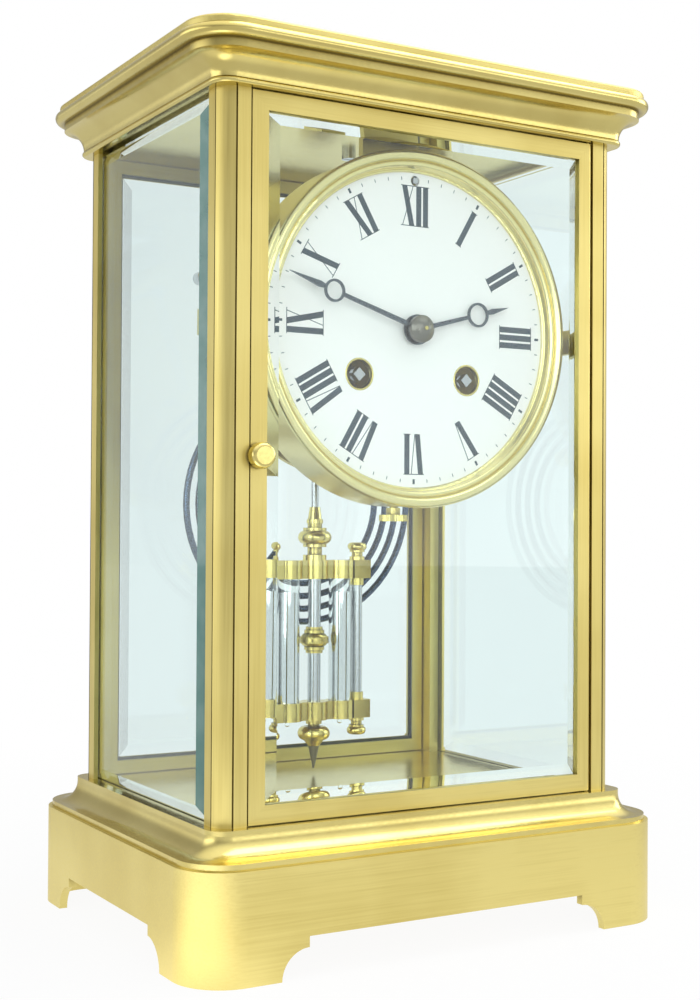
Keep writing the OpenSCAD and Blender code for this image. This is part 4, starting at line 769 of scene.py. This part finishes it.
class CLOCK_OT_wind_gong(bpy.types.Operator):
    """Winds the gong as a smooth round wire along the same spiral as its solid."""

    bl_idname = "clock.wind_gong"
    bl_label = "Wind Gong"

    def execute(self, context):
        s = sizes()
        start, turns, pitch, inner = math.radians(60), 3.95, 4.4 * MM, 25.2 * MM
        under_dial = 52 * MM
        centre = Vector((0, node_middle("gong").y, node_middle("dial").z - under_dial))
        steps, sides = int(64 * turns), 14
        stub = 2 * s.wire
        line = []
        for i in range(steps + 1):
            a = math.tau * turns * i / steps
            radius = inner + pitch * a / math.tau
            line.append(Vector((radius * math.cos(start + a), radius * math.sin(start + a))))
        # Both ends run on straight for a little
        first, last = start + math.pi / 2, start + math.tau * turns + math.pi / 2
        line.insert(0, line[0] - Vector((math.cos(first), math.sin(first))) * stub)
        line.append(line[-1] + Vector((math.cos(last), math.sin(last))) * stub)
        shape = bmesh.new()
        rings = []
        for i, p in enumerate(line):
            along = (line[min(i + 1, len(line) - 1)] - line[max(i - 1, 0)]).normalized()
            side = Vector((along.y, -along.x))
            ring = []
            for k in range(sides):
                u = s.wire * math.cos(math.tau * k / sides)
                v = s.wire * math.sin(math.tau * k / sides)
                q = p + side * u
                ring.append(shape.verts.new((centre.x + q.x, centre.y + v, centre.z + q.y)))
            rings.append(ring)
        for a, b in zip(rings, rings[1:]):
            for k in range(sides):
                n = (k + 1) % sides
                face = shape.faces.new((a[k], a[n], b[n], b[k]))
                face.smooth = True
        shape.faces.new(rings[0][::-1])
        shape.faces.new(rings[-1])
        bmesh.ops.recalc_face_normals(shape, faces=shape.faces)
        mesh = bpy.data.meshes.new("gong_wire")
        shape.to_mesh(mesh)
        shape.free()
        wire = new_piece("gong_wire", mesh, "case", blued_steel())
        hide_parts("gong")
        return {"FINISHED"}


class CLOCK_OT_shape_hands(bpy.types.Operator):
    """Gives the hands their darkened steel and the domed washer its finish."""

    bl_idname = "clock.shape_hands"
    bl_label = "Shape Hands"

    def execute(self, context):
        dress(("hour_hand", "minute_hand"), hand_steel())
        middle = node_middle("hand_nut")
        pin = 0.65 * MM
        dress(
            ("hand_nut",),
            dark_steel(),
            polished_brass(),
            rule=lambda f: int(math.hypot(f.center.x - middle.x, f.center.z - middle.z) < pin),
        )
        return {"FINISHED"}


class CLOCK_OT_light_stage(bpy.types.Operator):
    """Makes the floor, the soft lamps, the pale surroundings and the camera."""

    bl_idname = "clock.light_stage"
    bl_label = "Light Stage"

    def execute(self, context):
        scene = context.scene
        scene.view_settings.view_transform = "Standard"
        self.floor()
        self.surroundings(scene)
        # The left and front lamps light the enamel and the paper but aren't mirrored: screens are instead
        for name, place, aim, size, watts, mirrored in (
            ("left_softbox", (-0.9, -0.65, 0.3), (0, 0, 0.1), 0.7, 5.0, False),
            ("front_softbox", (-0.25, -1.05, 0.38), (0, 0, 0.18), 0.7, 3.2, False),
            ("right_softbox", (1.0, -0.25, 0.45), (0, 0, 0.13), 0.5, 2.0, True),
            ("top_softbox", (0.3, -0.2, 0.95), (0, 0, 0.1), 0.7, 3.5, True),
        ):
            lamp = bpy.data.lights.new(name, "AREA")
            lamp.size = size
            lamp.energy = watts
            holder = bpy.data.objects.new(name, lamp)
            holder.location = place
            holder.visible_glossy = mirrored
            holder.rotation_mode = "QUATERNION"
            holder.rotation_quaternion = (Vector(aim) - Vector(place)).to_track_quat("-Z", "Y")
            scene.collection.objects.link(holder)
        self.camera(scene)
        return {"FINISHED"}

    def floor(self):
        """A sheet of white paper, just under the feet."""
        wide, sunk = 4.0, 0.2 * MM
        shape = bmesh.new()
        bmesh.ops.create_circle(shape, cap_ends=True, radius=wide, segments=64)
        mesh = bpy.data.meshes.new("floor")
        shape.to_mesh(mesh)
        shape.free()
        floor = bpy.data.objects.new("floor", mesh)
        floor.location.z = -sunk
        bpy.context.scene.collection.objects.link(floor)
        # Matt white studio paper, lifted to white where it is looked at
        material, tree, out = start_material("white studio paper")
        ray = add(tree, "ShaderNodeLightPath")
        place = add(tree, "ShaderNodeTexCoord").outputs["Object"]
        off = add(tree, "ShaderNodeVectorMath", {0: place}, operation="LENGTH")
        # Rays that glass lets through count as seen, the other glossy rays as mirrored
        mirrored = add(
            tree,
            "ShaderNodeMath",
            {0: ray.outputs["Is Glossy Ray"], 1: ray.outputs["Is Transmission Ray"]},
            operation="SUBTRACT",
            use_clamp=True,
        )
        # Where metal mirrors it, the paper is painted dimmer away from the clock and glows with a painted
        # pool of light, in place of the left lamp's, by the front left corner
        by_corner = (-0.15, -0.1, 0)
        patch = add(tree, "ShaderNodeVectorMath", {0: place, 1: by_corner}, operation="DISTANCE")
        # Painted pool of light: up to 1.5 more glow within 12 cm of the corner
        painted_pool = add(
            tree,
            "ShaderNodeMapRange",
            {
                "Value": patch.outputs["Value"],
                "From Min": 0.03,
                "From Max": 0.12,
                "To Min": 1.5,
                "To Max": 0.0,
            },
            interpolation_type="SMOOTHSTEP",
        )
        # Painted shade: the mirrored paper loses up to 0.3 of its glow further from the clock
        painted_dimming = add(
            tree,
            "ShaderNodeMapRange",
            {
                "Value": off.outputs["Value"],
                "From Min": 0.14,
                "From Max": 0.32,
                "To Min": 0.0,
                "To Max": -0.3,
            },
            interpolation_type="SMOOTHSTEP",
        )
        change = add(
            tree,
            "ShaderNodeMath",
            {0: painted_pool.outputs["Result"], 1: painted_dimming.outputs["Result"]},
            operation="ADD",
        )
        glow = add(
            tree,
            "ShaderNodeMath",
            {0: mirrored.outputs["Value"], 1: change.outputs["Value"], 2: 1.0},
            operation="MULTIPLY_ADD",
        )
        seen = add(
            tree,
            "ShaderNodeMath",
            {0: ray.outputs["Is Camera Ray"], 1: ray.outputs["Is Transmission Ray"]},
            operation="MAXIMUM",
        )
        # The lift grows from near the clock, where its shadow falls, to the whole further off
        fade = add(
            tree,
            "ShaderNodeMapRange",
            {"Value": off.outputs["Value"], "From Min": 0.1, "From Max": 0.4, "To Min": 0.93, "To Max": 1.0},
        )
        share = add(
            tree,
            "ShaderNodeMath",
            {0: seen.outputs["Value"], 1: fade.outputs["Result"]},
            operation="MULTIPLY",
        )
        share = add(
            tree,
            "ShaderNodeMath",
            {0: share.outputs["Value"], 1: mirrored.outputs["Value"]},
            operation="MAXIMUM",
        )
        matt = add(tree, "ShaderNodeBsdfDiffuse", {"Color": linear("#F4F4F4")})
        lift = add(tree, "ShaderNodeEmission", {"Color": (1, 1, 1, 1), "Strength": glow.outputs["Value"]})
        mix = add(
            tree,
            "ShaderNodeMixShader",
            {0: share.outputs["Value"], 1: matt.outputs["BSDF"], 2: lift.outputs["Emission"]},
        )
        tree.links.new(mix.outputs["Shader"], out.inputs["Surface"])
        mesh.materials.append(material)

    def surroundings(self, scene):
        """White where it is looked at, soft grey as light, and a room with screens where metal mirrors it."""
        world = bpy.data.worlds.new("white studio")
        world.use_nodes = True
        tree = world.node_tree
        tree.nodes.clear()
        ray = add(tree, "ShaderNodeLightPath")
        seen = add(
            tree,
            "ShaderNodeMath",
            {0: ray.outputs["Is Camera Ray"], 1: ray.outputs["Is Transmission Ray"]},
            operation="MAXIMUM",
        )
        soft = add(tree, "ShaderNodeBackground", {"Color": linear("#F4F8FA"), "Strength": 0.55})
        white = add(tree, "ShaderNodeBackground", {"Color": (1, 1, 1, 1), "Strength": 1.0})
        # The screens that metal mirrors are wide and low, so heights count more than twice
        heights = (1, 1, 2.2)
        place = add(tree, "ShaderNodeTexCoord").outputs["Generated"]
        tall = add(tree, "ShaderNodeVectorMath", {0: place, 1: heights}, operation="MULTIPLY")
        place = add(tree, "ShaderNodeVectorMath", {0: tall.outputs["Vector"]}, operation="NORMALIZE")
        place = place.outputs["Vector"]
        # A room that is greyer behind the clock, then screens in front to the right, at the left and above
        level = None
        for way, edge, dark, bright in (
            ((0.1, -0.8, -0.6), 0.0, 0.45, 0.9),
            ((0.74, -0.67, 0.0), 0.75, 0.0, 1.3),
            ((-0.93, 0.35, 0.0), 0.6, 0.0, 1.6),
            ((0.1, -0.1, 0.95), 0.6, 0.0, 0.9),
        ):
            towards = add(
                tree,
                "ShaderNodeVectorMath",
                {0: place, 1: Vector(way).normalized()},
                operation="DOT_PRODUCT",
            )
            screen = add(
                tree,
                "ShaderNodeMapRange",
                {"Value": towards.outputs["Value"], "From Min": edge, "To Min": dark, "To Max": bright},
                interpolation_type="SMOOTHSTEP",
            ).outputs["Result"]
            if level:
                screen = add(tree, "ShaderNodeMath", {0: level, 1: screen}, operation="ADD")
                screen = screen.outputs["Value"]
            level = screen
        room = add(tree, "ShaderNodeBackground", {"Color": (1, 1, 1, 1), "Strength": level})
        mirrored = add(
            tree,
            "ShaderNodeMixShader",
            {0: ray.outputs["Is Glossy Ray"], 1: soft.outputs["Background"], 2: room.outputs["Background"]},
        )
        mix = add(
            tree,
            "ShaderNodeMixShader",
            {0: seen.outputs["Value"], 1: mirrored.outputs["Shader"], 2: white.outputs["Background"]},
        )
        add(tree, "ShaderNodeOutputWorld", {"Surface": mix.outputs["Shader"]})
        scene.world = world

    def camera(self, scene):
        """The photographer's place and lens, solved from the edges of the case and the dial."""
        lens = bpy.data.cameras.new("photo_camera")
        lens.sensor_fit = "AUTO"
        lens.sensor_width = 36.0
        lens.lens = 55.11
        lens.clip_start = 0.01
        lens.clip_end = 50.0
        holder = bpy.data.objects.new("photo_camera", lens)
        place = Vector((-0.25133, -0.43508, 0.12540))
        yaw, pitch, roll = math.radians(30.222), math.radians(0.824), math.radians(0.315)
        level = math.cos(pitch)
        ahead = Vector((math.sin(yaw) * level, math.cos(yaw) * level, math.sin(pitch)))
        right = Vector((math.cos(yaw), -math.sin(yaw), 0))
        up = right.cross(ahead)
        x_axis = math.cos(roll) * right + math.sin(roll) * up
        y_axis = -math.sin(roll) * right + math.cos(roll) * up
        turn = Matrix((x_axis, y_axis, -ahead)).transposed()
        holder.matrix_world = Matrix.Translation(place) @ turn.to_4x4()
        scene.collection.objects.link(holder)
        scene.camera = holder


class CLOCK_PT_looks(bpy.types.Panel):
    """Lists the steps that dress the clock."""

    bl_label = "Clock Looks"
    bl_idname = "CLOCK_PT_looks"
    bl_space_type = "VIEW_3D"
    bl_region_type = "UI"
    bl_category = "Clock"

    def draw(self, context):
        for operator in OPERATORS:
            self.layout.operator(operator.bl_idname)
        for group in (context.scene.clock_sizes, context.scene.clock_colours):
            for name in group.__annotations__:
                self.layout.prop(group, name)


OPERATORS = (
    CLOCK_OT_light_stage,
    CLOCK_OT_dress_case,
    CLOCK_OT_dress_glass,
    CLOCK_OT_dress_movement,
    CLOCK_OT_dress_pendulum,
    CLOCK_OT_paint_dial,
    CLOCK_OT_wind_gong,
    CLOCK_OT_shape_hands,
)
CLASSES = (ClockSizes, ClockColours, *OPERATORS, CLOCK_PT_looks)


def register():
    for cls in CLASSES:
        bpy.utils.register_class(cls)
    bpy.types.Scene.clock_sizes = PointerProperty(type=ClockSizes)
    bpy.types.Scene.clock_colours = PointerProperty(type=ClockColours)


def unregister():
    del bpy.types.Scene.clock_colours
    del bpy.types.Scene.clock_sizes
    for cls in reversed(CLASSES):
        bpy.utils.unregister_class(cls)


def main():
    register()
    bpy.ops.clock.light_stage()
    bpy.ops.clock.dress_case()
    bpy.ops.clock.dress_glass()
    bpy.ops.clock.dress_movement()
    bpy.ops.clock.dress_pendulum()
    bpy.ops.clock.paint_dial()
    bpy.ops.clock.wind_gong()
    bpy.ops.clock.shape_hands()


if __name__ == "__main__":
    main()
